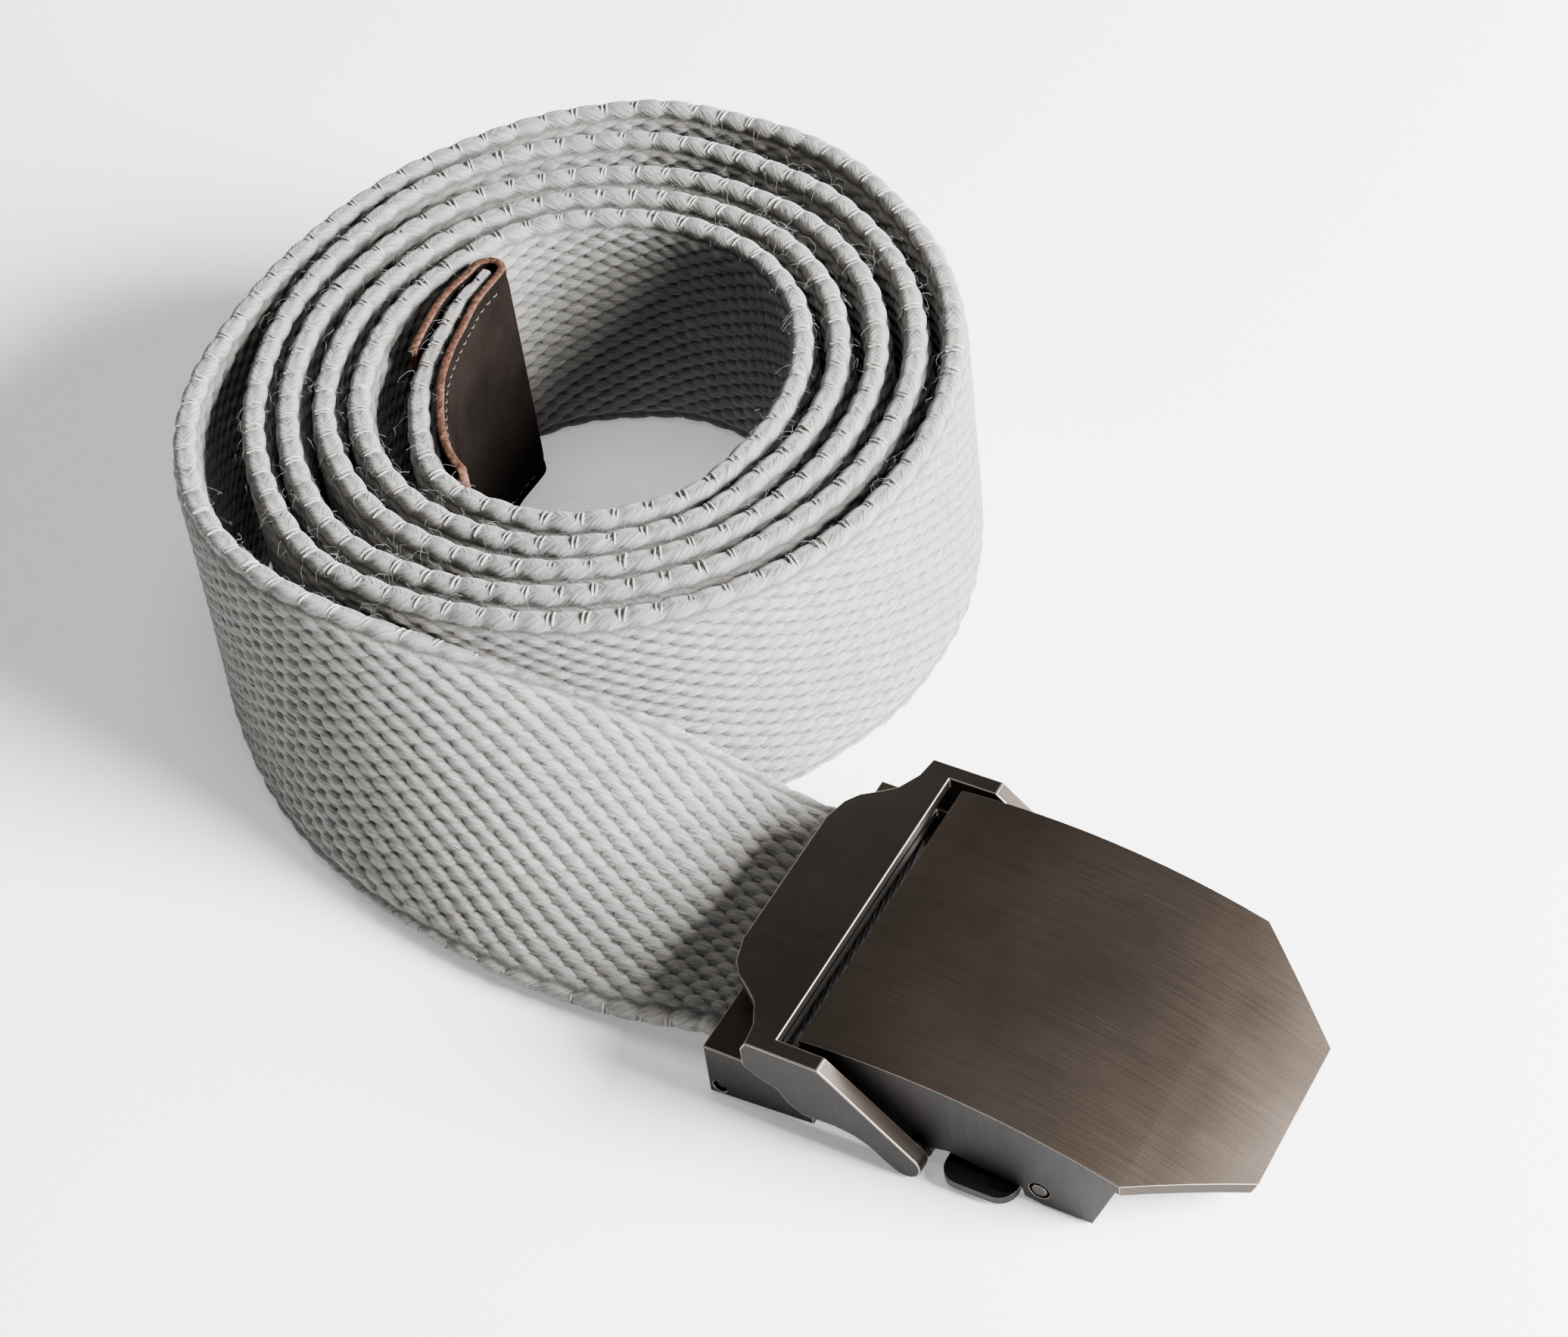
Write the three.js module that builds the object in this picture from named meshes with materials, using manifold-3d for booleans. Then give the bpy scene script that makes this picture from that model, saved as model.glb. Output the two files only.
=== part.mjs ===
// A work belt laid down: woven webbing rolled into a coil that stands on its edge, its strap
// turning flat into a hinged metal plate buckle. Millimetres, +Z up, buckle along +X.
import * as THREE from 'three';
import { mergeVertices } from 'three/addons/utils/BufferGeometryUtils.js';
import Module from 'manifold-3d';

// Webbing
const webbing_width = 38;
const webbing_thickness = 3.8;
const webbing_edge_round = 0.8;
const clearance = 0.35;

// Coil, measured from its own centre
const coil_bore_radius = 30;
const turn_slack = 4;
const coil_turned = THREE.MathUtils.degToRad(34.7);
const coil_centre_x = -60.8;
const coil_centre_y = 56.8;
const steps_between_rows = 3;

// Strap from the coil to the buckle
const exit_slack_share = 1.26;
const exit_heading = THREE.MathUtils.degToRad(-57.6);
const exit_pull = 60;
const entry_pull = 10;
const strap_steps = 26;
const lift_start = 0.6;

// Leather tip
const leather_thickness = 1.2;
const tip_pinch = 0.62;

// Buckle plate
const plate_width = 43.1;
const plate_length = 42.2;
const tip_length = 13.85;
const tip_width = 21.6;
const plate_metal = 1.5;
const plate_wall = 1.2;
const plate_rear_height = 14.9;
const plate_bend_radius = 91;
const plate_rise = 0.11;
const wall_foot = 0.3;
const wall_foot_share = 0.91;
const lug_web_share = 0.7;
const ear_end = Math.PI * 2.1;

// Keeper frame
const keeper_overhang = 3.2;
const keeper_height = 15.1;
const keeper_metal = 1.5;
const arm_thickness = 2.2;
const window_gap = 2.3;
const bar_depth = 11.3;
const corner_line = -5.6;
const bend_line = 4.2;

// Hinge
const hinge_x = 14.7;
const lug_radius = 2.2;
const lug_foot = 0.3;
const lug_start = -Math.PI * 0.7;
const pin_radius = 1;
const blind_wall = 0.6;

// Clamp
const clamp_front = 1.75;
const clamp_roof_end = -4.2;
const clamp_length = 14.6;
const clamp_height = 9.1;
const clamp_foot = 0.3;
const clamp_foot_front = 1.5;
const clamp_metal = 1.2;
const clamp_side = 1.5;
const cheek_skin = 1;
const jaw_pin_radius = 0.6;
const jaw_wall = 0.6;
const jaw_side_gap = 0.4;
const jaw_teeth = 3;
const jaw_tooth_height = 0.5;

// Lock lever
const lever_pin_x = 31;
const lever_barrel_radius = 2.1;
const lever_foot = 0.8;
const cam_height = 5.2;
const cam_rear_share = 0.8;
const cam_teeth = 3;
const tab_length = 9.6;
const tab_reach = 2.6;
const tab_thickness = 1.2;
const tab_setback = 2.7;
const dimple_depth = 0.35;
const dimple_width_share = 0.6;

const arc_steps = 8;
const cylinder_sides = 16;

// What follows from the sizes above
const plate_half = plate_width / 2;
const keeper_half = plate_half + keeper_overhang;
const hinge_z = lug_foot + lug_radius;
const clamp_rear = clamp_front - clamp_length;
const clamp_half = keeper_half - cheek_skin - clearance;
const strap_height = clamp_height - clamp_metal - clearance - webbing_thickness / 2;
const turn_pitch = webbing_thickness + clearance;
const lever_pin_z = lever_foot + lever_barrel_radius;
const lever_half = plate_half - plate_wall - clearance;
const tab_end = lever_pin_x - tab_setback;

// The coil, a row each 30 degrees from the first crossing on its left: the innermost turn's
// radius as a share of the bore, then how much of the slack opens each next turn.
const coil_rows = [
  { angle: 180, bore: 1.10, second: 1.02, third: 0.16, fourth: 0.19, fifth: 0.11 },
  { angle: 210, bore: 1.17, second: 0.20, third: 0.10, fourth: 0.46, fifth: 0.11 },
  { angle: 240, bore: 1.07, second: 0.10, third: 0.10, fourth: 0.13, fifth: 0.10 },
  { angle: 270, bore: 0.90, second: 0.10, third: 0.10, fourth: 0.14, fifth: 0.31 },
  { angle: 300, bore: 0.707, second: 0.14, third: 0.29, fourth: 0.19, fifth: 0.39 },
  { angle: 330, bore: 0.623, second: 0.21, third: 0.21, fourth: 0.21, fifth: 0.31 },
  { angle: 360, bore: 0.62, second: 0.19, third: 0.26, fourth: 0.26, fifth: 0.24 },
  { angle: 390, bore: 0.697, second: 0.19, third: 0.29, fourth: 0.29, fifth: 0.34 },
  { angle: 420, bore: 0.843, second: 0.16, third: 0.26, fourth: 0.49, fifth: 0.84 },
  { angle: 450, bore: 1.04, second: 0.16, third: 0.29, fourth: 0.99, fifth: 0.86 },
  { angle: 480, bore: 1.243, second: 0.19, third: 0.36, fourth: 0.69, fifth: 0.10 },
  { angle: 510, bore: 1.33, second: 0.24, third: 0.31, fourth: 0.16, fifth: 0.29 },
];

// The free end leans inwards ahead of the first row: radius as a share of the bore, and the
// webbing's thickness as a share of its full one where the leather pinches it.
const tip_rows = [
  { angle: 134, bore: 1.10, thickness: tip_pinch },
  { angle: 150, bore: 1.075, thickness: 0.8 },
];
const inner_flap_end = 211;
const outer_flap_end = 166;

// The keeper's round shoulders: depth of the bar at each distance in from its side, as shares
// of the bar's bulge and of the shoulder's width.
const shoulder_width = 14;
const shoulder_rows = [
  { inset: 0, bulge: 0 },
  { inset: 0.22, bulge: 0.06 },
  { inset: 0.43, bulge: 0.25 },
  { inset: 0.54, bulge: 0.48 },
  { inset: 0.64, bulge: 0.73 },
  { inset: 0.77, bulge: 0.89 },
  { inset: 1, bulge: 1 },
];

// The cheek's lower edge from the rear to the lug: shares of the reach from the corner line to
// the hinge, and of the keeper's height.
const cheek_rows = [
  { along: -0.04, height: 0.9 },
  { along: -0.04, height: 0.7 },
  { along: 0.06, height: 0.6 },
  { along: 0.18, height: 0.54 },
  { along: 0.25, height: 0.4 },
  { along: 0.34, height: 0.32 },
  { along: 0.56, height: 0.33 },
  { along: 0.68, height: 0.3 },
  { along: 0.78, height: 0.23 },
  { along: 0.86, height: 0.13 },
];

// The side wall's rear edge, from the plate down to the ear: shares of the hinge's distance
// from the plate's rear edge, and of the plate's height there.
const wall_rear_rows = [
  { along: 0.03, height: 0.86 },
  { along: 0.05, height: 0.76 },
  { along: 0.27, height: 0.67 },
  { along: 0.66, height: 0.36 },
];

const colours = {
  cotton: new THREE.MeshStandardMaterial({ color: 0xc9c7c3, roughness: 0.9, metalness: 0 }),
  leather: new THREE.MeshStandardMaterial({ color: 0x231d1b, roughness: 0.55, metalness: 0 }),
  gunmetal: new THREE.MeshStandardMaterial({ color: 0x5a524a, roughness: 0.4, metalness: 0.9 }),
  dark_steel: new THREE.MeshStandardMaterial({ color: 0x3c3a38, roughness: 0.5, metalness: 0.9 }),
};

const wasm = await Module();
wasm.setup();

// A closed geometry as a solid that can be joined and cut
function solidOf(geometry) {
  const bare = geometry.clone();
  bare.deleteAttribute('normal');
  bare.deleteAttribute('uv');
  const merged = mergeVertices(bare);
  return new wasm.Manifold(new wasm.Mesh({
    numProp: 3,
    vertProperties: merged.attributes.position.array,
    triVerts: Uint32Array.from(merged.index.array),
  }));
}

function geometryOf(solid) {
  const mesh = solid.getMesh();
  const geometry = new THREE.BufferGeometry();
  geometry.setAttribute('position', new THREE.BufferAttribute(mesh.vertProperties, 3));
  geometry.setIndex(new THREE.BufferAttribute(mesh.triVerts, 1));
  geometry.computeVertexNormals();
  return geometry;
}

// An outline in plan, raised from one height to another
function upright(outline, bottom, top) {
  const geometry = new THREE.ExtrudeGeometry(new THREE.Shape(outline), {
    depth: top - bottom,
    bevelEnabled: false,
  });
  return geometry.translate(0, 0, bottom);
}

// A side outline, x along and y for height, carried across the buckle between two sides
function across(outline, near, far) {
  const geometry = upright(outline, 0, far - near);
  return geometry.rotateX(Math.PI / 2).translate(0, far, 0);
}

function crossPin(radius, x, z, near, far) {
  const geometry = new THREE.CylinderGeometry(radius, radius, far - near, cylinder_sides);
  return geometry.translate(x, (near + far) / 2, z);
}

// Points on a round end, from one angle to another about a centre
function roundEnd(centre, radius, from, to) {
  const points = [];
  for (let step = 0; step <= arc_steps; step += 1) {
    const angle = from + (to - from) * step / arc_steps;
    points.push(new THREE.Vector2(
      centre.x + radius * Math.cos(angle),
      centre.y + radius * Math.sin(angle),
    ));
  }
  return points;
}

function named(name, geometry, material) {
  const mesh = new THREE.Mesh(geometry, material);
  mesh.name = name;
  return mesh;
}

// The radius of the coil at each row of each turn, in the order that the webbing runs
function coilStations() {
  const stations = tip_rows.map((row) => ({
    angle: row.angle,
    radius: row.bore * coil_bore_radius,
    thickness: row.thickness,
  }));
  const turns = ['bore', 'second', 'third', 'fourth', 'fifth'];
  turns.forEach((turn, number) => {
    for (const row of coil_rows) {
      const openings = turns.slice(1, number + 1).map((name) => row[name] * turn_slack);
      const slack = openings.reduce((sum, opening) => sum + opening, 0);
      const radius = row.bore * coil_bore_radius + number * turn_pitch + slack;
      stations.push({ angle: row.angle + number * 360, radius, thickness: 1 });
    }
  });
  const last_turn = stations[stations.length - coil_rows.length];
  stations.push({
    angle: last_turn.angle + 360,
    radius: last_turn.radius + turn_pitch + exit_slack_share * turn_slack,
    thickness: 1,
  });
  return stations;
}

function coilPoint(station) {
  const angle = THREE.MathUtils.degToRad(station.angle) + coil_turned;
  return new THREE.Vector3(
    coil_centre_x + station.radius * Math.cos(angle),
    coil_centre_y + station.radius * Math.sin(angle),
    0,
  );
}

const stations = coilStations();
const coil_exit = coilPoint(stations[stations.length - 1]);
const before_exit = coilPoint(stations[stations.length - 2]);
const exit_direction = new THREE.Vector3(Math.cos(exit_heading), Math.sin(exit_heading), 0);

// One more point past the exit turns the curve's end into the strap's own heading
const past_exit = before_exit.clone()
  .addScaledVector(exit_direction, 2 * before_exit.distanceTo(coil_exit));
const coil_curve = new THREE.CatmullRomCurve3(
  [...stations.map(coilPoint), past_exit],
  false,
  'catmullrom',
  0.5,
);

// Points along the coil's lower edge between two station numbers, which may be fractions
function coilRun(from, to, steps) {
  const points = [];
  for (let step = 0; step <= steps; step += 1) {
    const place = from + (to - from) * step / steps;
    const low = Math.min(Math.floor(place), stations.length - 2);
    const thickness = THREE.MathUtils.lerp(
      stations[low].thickness,
      stations[low + 1].thickness,
      place - low,
    );
    points.push({ foot: coil_curve.getPoint(place / stations.length), lean: 0, thickness });
  }
  return points;
}

// The strap's lower edge swings out of the coil and into line with the buckle, while its upper
// edge leans back a quarter turn, slowly at both ends.
function strapRun() {
  const clamp_mouth = new THREE.Vector3(clamp_rear - 1, -webbing_width / 2, 0);
  const curve = new THREE.CubicBezierCurve3(
    coil_exit,
    coil_exit.clone().addScaledVector(exit_direction, exit_pull),
    new THREE.Vector3(clamp_mouth.x - entry_pull, clamp_mouth.y, 0),
    clamp_mouth,
  );
  const lift = strap_height - webbing_thickness / 2;
  const points = [];
  for (let step = 1; step <= strap_steps; step += 1) {
    const share = step / strap_steps;
    const lean = THREE.MathUtils.smoothstep(share, 0, 1) * Math.PI / 2;
    const foot = curve.getPoint(share);
    foot.z = webbing_thickness / 2 * Math.sin(lean);
    foot.z += lift * THREE.MathUtils.smoothstep(share, lift_start, 1);
    points.push({ foot, lean, thickness: 1 });
  }
  const end = points[points.length - 1].foot.clone();
  end.x = clamp_roof_end - clearance;
  points.push({ foot: end, lean: Math.PI / 2, thickness: 1 });
  return points;
}

// The webbing's section: a flat bar with its corners taken off, across the width and thickness
function webbingSection(thickness_share) {
  const half_width = webbing_width / 2;
  const half_thickness = webbing_thickness * thickness_share / 2;
  const round = webbing_edge_round * thickness_share;
  return [
    [half_width, half_thickness - round],
    [half_width - round, half_thickness],
    [round - half_width, half_thickness],
    [-half_width, half_thickness - round],
    [-half_width, round - half_thickness],
    [round - half_width, -half_thickness],
    [half_width - round, -half_thickness],
    [half_width, round - half_thickness],
  ];
}

// A closed skin through rings of points, with a flat cap on each end
function loft(rings) {
  const sides = rings[0].length;
  const positions = rings.flat().flatMap((point) => [point.x, point.y, point.z]);
  const index = [];
  for (let ring = 0; ring < rings.length - 1; ring += 1) {
    for (let side = 0; side < sides; side += 1) {
      const next = (side + 1) % sides;
      const here = ring * sides;
      const ahead = here + sides;
      index.push(here + side, here + next, ahead + next);
      index.push(here + side, ahead + next, ahead + side);
    }
  }
  const last = (rings.length - 1) * sides;
  for (let side = 1; side < sides - 1; side += 1) {
    index.push(0, side + 1, side);
    index.push(last, last + side, last + side + 1);
  }
  const geometry = new THREE.BufferGeometry();
  geometry.setAttribute('position', new THREE.Float32BufferAttribute(positions, 3));
  geometry.setIndex(index);
  geometry.computeVertexNormals();
  return geometry;
}

function webbing() {
  const coil_steps = Math.round((stations.length - 1) * steps_between_rows);
  const run = [...coilRun(0, stations.length - 1, coil_steps), ...strapRun()];
  const up = new THREE.Vector3(0, 0, 1);
  const direction = (list, number) => {
    const before = list[Math.max(number - 1, 0)];
    const after = list[Math.min(number + 1, list.length - 1)];
    return after.clone().sub(before).normalize();
  };
  const feet = run.map((place) => place.foot);
  const widthways = run.map((place, number) => {
    const level = direction(feet, number).setZ(0).normalize();
    const inwards = up.clone().cross(level);
    return up.clone().multiplyScalar(Math.cos(place.lean))
      .addScaledVector(inwards, Math.sin(place.lean));
  });
  const centres = feet.map((foot, number) => (
    foot.clone().addScaledVector(widthways[number], webbing_width / 2)
  ));
  const rings = run.map((place, number) => {
    const through = direction(centres, number).cross(widthways[number]).normalize();
    return webbingSection(place.thickness).map(([width, depth]) => (
      centres[number].clone()
        .addScaledVector(widthways[number], width)
        .addScaledVector(through, depth)
    ));
  });
  return loft(rings);
}

// Leather folded round the free end: two flaps along the webbing's faces and a round fold
function tipLeather() {
  const flap = (end_angle) => {
    const rows = coil_rows.filter((row) => row.angle < end_angle);
    const last_row = tip_rows.length - 1 + rows.length;
    const before = stations[last_row].angle;
    const after = stations[last_row + 1].angle;
    const place = last_row + (end_angle - before) / (after - before);
    const steps = Math.round(place * steps_between_rows);
    return coilRun(0, steps / steps_between_rows, steps);
  };
  const side = (run, distance, sign) => run.map((place, number) => {
    const before = run[Math.max(number - 1, 0)].foot;
    const after = run[Math.min(number + 1, run.length - 1)].foot;
    const along = after.clone().sub(before).normalize();
    const off = sign * (place.thickness * webbing_thickness / 2 + distance);
    return new THREE.Vector2(place.foot.x - along.y * off, place.foot.y + along.x * off);
  });
  const inner = flap(inner_flap_end);
  const outer = flap(outer_flap_end);
  const start = inner[0].foot;
  const along = inner[1].foot.clone().sub(start);
  const heading = Math.atan2(along.y, along.x);
  const tip_half = inner[0].thickness * webbing_thickness / 2;
  const fold = (distance) => (
    roundEnd(start, tip_half + distance, heading + Math.PI / 2, heading + Math.PI * 1.5)
  );
  const outside = clearance + leather_thickness;
  const outline = [
    ...side(inner, outside, 1).reverse(),
    ...fold(outside).slice(1, -1),
    ...side(outer, outside, -1),
    ...side(outer, clearance, -1).reverse(),
    ...fold(clearance).slice(1, -1).reverse(),
    ...side(inner, clearance, 1),
  ];
  return upright(outline, 0, webbing_width);
}

// The cover plate bends steadily downwards from its rear edge: a point at a length along it
function platePoint(length, depth) {
  const slope = plate_rise - length / plate_bend_radius;
  const radius = plate_bend_radius - depth;
  return new THREE.Vector2(
    plate_bend_radius * Math.sin(plate_rise) - radius * Math.sin(slope),
    plate_rear_height - plate_bend_radius * Math.cos(plate_rise) + radius * Math.cos(slope),
  );
}

function plateBand(depth, from, to) {
  const points = [];
  const steps = arc_steps * 2;
  for (let step = 0; step <= steps; step += 1) {
    points.push(platePoint(from + (to - from) * step / steps, depth));
  }
  return points;
}

function frontPlate() {
  const full_length = plate_length + tip_length;
  const top = plateBand(0, 0, full_length);
  const underside = plateBand(plate_metal, 0, full_length).reverse();
  const shoulder = platePoint(plate_length, 0).x;
  const tip = platePoint(full_length, 0).x;
  const beyond = plate_metal;
  const plan = [
    new THREE.Vector2(-beyond, -plate_half),
    new THREE.Vector2(shoulder, -plate_half),
    new THREE.Vector2(tip, -tip_width / 2),
    new THREE.Vector2(tip, tip_width / 2),
    new THREE.Vector2(shoulder, plate_half),
    new THREE.Vector2(-beyond, plate_half),
  ];
  const sheet = solidOf(across([...top, ...underside], -plate_half, plate_half));
  const trim = solidOf(upright(plan, 0, keeper_height + plate_rear_height));
  let solid = sheet.intersect(trim);
  const hinge = new THREE.Vector2(hinge_x, hinge_z);
  const middle = plate_metal / 2;
  const notch = tab_end + clearance;
  const notch_top = lever_foot + tab_thickness + clearance;
  const wall = [
    ...plateBand(middle, plate_metal / 2, plate_length).reverse(),
    ...wall_rear_rows.map((row) => (
      new THREE.Vector2(row.along * hinge_x, row.height * plate_rear_height)
    )),
    ...roundEnd(hinge, lug_radius, Math.PI, ear_end),
    new THREE.Vector2(hinge_x + lug_radius * 2, notch_top + lever_barrel_radius * lug_web_share),
    new THREE.Vector2(notch - tab_setback, notch_top + clearance),
    new THREE.Vector2(notch, notch_top),
    new THREE.Vector2(notch + clearance, lever_foot),
    new THREE.Vector2(lever_pin_x + clearance, wall_foot),
    new THREE.Vector2(shoulder * wall_foot_share, wall_foot),
  ];
  const inside = plate_half - plate_wall;
  for (const [near, far] of [[-plate_half, -inside], [inside, plate_half]]) {
    solid = solid.add(solidOf(across(wall, near, far)));
  }
  const bore = pin_radius + clearance;
  const through = [-plate_half - beyond, plate_half + beyond];
  solid = solid.subtract(solidOf(crossPin(bore, hinge_x, hinge_z, ...through)));
  solid = solid.subtract(solidOf(crossPin(bore, lever_pin_x, lever_pin_z, ...through)));
  return geometryOf(solid);
}

function keeperFrame() {
  const bulge = bar_depth + corner_line + window_gap;
  const shoulder = shoulder_rows.map((row) => ({
    x: corner_line - row.bulge * bulge,
    y: keeper_half - row.inset * shoulder_width,
  }));
  const plan = [
    new THREE.Vector2(-window_gap, keeper_half),
    ...shoulder.map((point) => new THREE.Vector2(point.x, point.y)),
    ...shoulder.map((point) => new THREE.Vector2(point.x, -point.y)).reverse(),
    new THREE.Vector2(-window_gap, -keeper_half),
  ];
  let solid = solidOf(upright(plan, keeper_height - keeper_metal, keeper_height));
  const hinge = new THREE.Vector2(hinge_x, hinge_z);
  const reach = hinge_x - corner_line;
  const arm_normal = Math.atan2(hinge_x - bend_line, keeper_height - hinge_z);
  const cheek = [
    new THREE.Vector2(corner_line, keeper_height),
    ...cheek_rows.map((row) => (
      new THREE.Vector2(corner_line + row.along * reach, row.height * keeper_height)
    )),
    ...roundEnd(hinge, lug_radius, lug_start, arm_normal),
    new THREE.Vector2(bend_line, keeper_height),
  ];
  const inside = keeper_half - arm_thickness;
  for (const [near, far] of [[-keeper_half, -inside], [inside, keeper_half]]) {
    solid = solid.add(solidOf(across(cheek, near, far)));
  }
  const room = clamp_half + clearance;
  const pocket = [
    new THREE.Vector2(clamp_rear - bar_depth, 0),
    new THREE.Vector2(clamp_front + clearance, 0),
    new THREE.Vector2(clamp_front + clearance, clamp_height + clearance),
    new THREE.Vector2(clamp_rear - bar_depth, clamp_height + clearance),
  ];
  solid = solid.subtract(solidOf(across(pocket, -room, room)));
  const bore_reach = keeper_half - blind_wall;
  const bore = crossPin(pin_radius + clearance, hinge_x, hinge_z, -bore_reach, bore_reach);
  return geometryOf(solid.subtract(solidOf(bore)));
}

function hingePin(side) {
  const inner = side * (plate_half - plate_wall);
  const outer = side * (keeper_half - blind_wall - clearance);
  return crossPin(pin_radius, hinge_x, hinge_z, Math.min(inner, outer), Math.max(inner, outer));
}

const jaw_pin_x = clamp_rear + jaw_pin_radius * 2 + clearance;
const jaw_pin_z = clamp_foot + jaw_pin_radius + clearance + jaw_wall;
const jaw_barrel_radius = jaw_pin_radius + clearance + jaw_wall;

function endClamp() {
  const side = [
    new THREE.Vector2(clamp_rear, clamp_foot),
    new THREE.Vector2(clamp_front, clamp_foot_front),
    new THREE.Vector2(clamp_front, clamp_height),
    new THREE.Vector2(clamp_rear, clamp_height),
  ];
  const roof = [
    new THREE.Vector2(clamp_rear, clamp_height - clamp_metal),
    new THREE.Vector2(clamp_roof_end, clamp_height - clamp_metal),
    new THREE.Vector2(clamp_roof_end, clamp_height),
    new THREE.Vector2(clamp_rear, clamp_height),
  ];
  let solid = solidOf(across(roof, -clamp_half, clamp_half));
  const inside = clamp_half - clamp_side;
  for (const [near, far] of [[-clamp_half, -inside], [inside, clamp_half]]) {
    solid = solid.add(solidOf(across(side, near, far)));
  }
  const bore = crossPin(jaw_pin_radius + clearance, jaw_pin_x, jaw_pin_z, -keeper_half, keeper_half);
  return geometryOf(solid.subtract(solidOf(bore)));
}

function clampJaw() {
  const half = clamp_half - clamp_side - jaw_side_gap;
  const bed_top = strap_height - webbing_thickness / 2 - clearance - jaw_tooth_height;
  const bed_start = jaw_pin_x + jaw_barrel_radius / 2;
  const pitch = (clamp_roof_end - bed_start) / (jaw_teeth + 1);
  const bed = [
    new THREE.Vector2(bed_start, clamp_foot_front - clearance),
    new THREE.Vector2(clamp_roof_end, clamp_foot_front - clearance),
    new THREE.Vector2(clamp_roof_end, bed_top),
  ];
  for (let tooth = jaw_teeth; tooth > 0; tooth -= 1) {
    const at = bed_start + tooth * pitch;
    bed.push(new THREE.Vector2(at + pitch / 2, bed_top));
    bed.push(new THREE.Vector2(at, bed_top + jaw_tooth_height));
  }
  bed.push(new THREE.Vector2(bed_start, bed_top));
  const barrel = crossPin(jaw_barrel_radius, jaw_pin_x, jaw_pin_z, -half, half);
  const bore = crossPin(jaw_pin_radius + clearance, jaw_pin_x, jaw_pin_z, -keeper_half, keeper_half);
  const solid = solidOf(across(bed, -half, half)).add(solidOf(barrel));
  return geometryOf(solid.subtract(solidOf(bore)));
}

function lockLever() {
  const arm_top = lever_foot + tab_thickness;
  const arm_end = tab_end - tab_length;
  const pitch = (tab_end - arm_end) / (cam_teeth + 1);
  const arm = [
    new THREE.Vector2(arm_end, lever_foot),
    new THREE.Vector2(lever_pin_x, lever_foot),
    new THREE.Vector2(lever_pin_x, lever_pin_z),
    new THREE.Vector2(tab_end, cam_height * cam_rear_share),
  ];
  for (let tooth = cam_teeth; tooth > 0; tooth -= 1) {
    const at = arm_end + tooth * pitch;
    const crest = THREE.MathUtils.lerp(arm_top, cam_height, tooth / cam_teeth);
    arm.push(new THREE.Vector2(at, crest));
    arm.push(new THREE.Vector2(at - pitch / 2, crest - tab_thickness / 2));
  }
  arm.push(new THREE.Vector2(arm_end, arm_top));
  const barrel = crossPin(lever_barrel_radius, lever_pin_x, lever_pin_z, -lever_half, lever_half);
  const radius = tab_reach / 2 + plate_wall;
  const outer = plate_half + tab_reach;
  const ends = { rear: arm_end + radius, front: tab_end - radius };
  const tab_plan = [
    ...roundEnd({ x: ends.front, y: radius - outer }, radius, -Math.PI / 2, 0),
    new THREE.Vector2(tab_end, -lever_half + plate_wall),
    new THREE.Vector2(arm_end, -lever_half + plate_wall),
    ...roundEnd({ x: ends.rear, y: radius - outer }, radius, -Math.PI, -Math.PI / 2),
  ];
  const tab = solidOf(upright(tab_plan, lever_foot, arm_top));
  const dimple = new THREE.SphereGeometry(radius, cylinder_sides, cylinder_sides / 2);
  dimple.scale(1, dimple_width_share, dimple_depth / radius);
  dimple.translate(ends.front, radius - outer, arm_top);
  const bore = crossPin(pin_radius + clearance, lever_pin_x, lever_pin_z, -keeper_half, keeper_half);
  const solid = solidOf(across(arm, -lever_half, lever_half)).add(solidOf(barrel)).add(tab);
  return geometryOf(solid.subtract(solidOf(dimple)).subtract(solidOf(bore)));
}

const belt = new THREE.Group();
belt.add(named('webbing', webbing(), colours.cotton));
belt.add(named('tip_leather', tipLeather(), colours.leather));
belt.add(named('end_clamp', endClamp(), colours.gunmetal));
belt.add(named('clamp_jaw', clampJaw(), colours.dark_steel));
belt.add(named(
  'jaw_pin',
  crossPin(jaw_pin_radius, jaw_pin_x, jaw_pin_z, clearance - clamp_half, clamp_half - clearance),
  colours.dark_steel,
));
belt.add(named('keeper_frame', keeperFrame(), colours.gunmetal));
belt.add(named('hinge_pin_near', hingePin(-1), colours.dark_steel));
belt.add(named('hinge_pin_far', hingePin(1), colours.dark_steel));
belt.add(named('front_plate', frontPlate(), colours.gunmetal));
belt.add(named('lock_lever', lockLever(), colours.dark_steel));
belt.add(named(
  'lever_pin',
  crossPin(pin_radius, lever_pin_x, lever_pin_z, -plate_half, plate_half),
  colours.dark_steel,
));

// The origin is under the middle of the whole belt
const extent = new THREE.Box3().setFromObject(belt);
const middle = extent.getCenter(new THREE.Vector3());
belt.position.set(-middle.x, -middle.y, -extent.min.z);

export default belt;
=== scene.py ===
# %% [markdown]
# # A work belt, dressed for its photograph
#
# The belt is one long band of thick cotton webbing. Its free end wears folded leather, and its
# other end runs flat into a hinged plate buckle. The CAD model gives the places; this lesson
# gives each piece the surface that it has in real life: woven yarns, rope-like edges, fuzz,
# grained leather with stitches, and brushed metal with worn edges.

import math

import bpy
import bmesh
import numpy as np
from mathutils import Matrix, Vector


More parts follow.
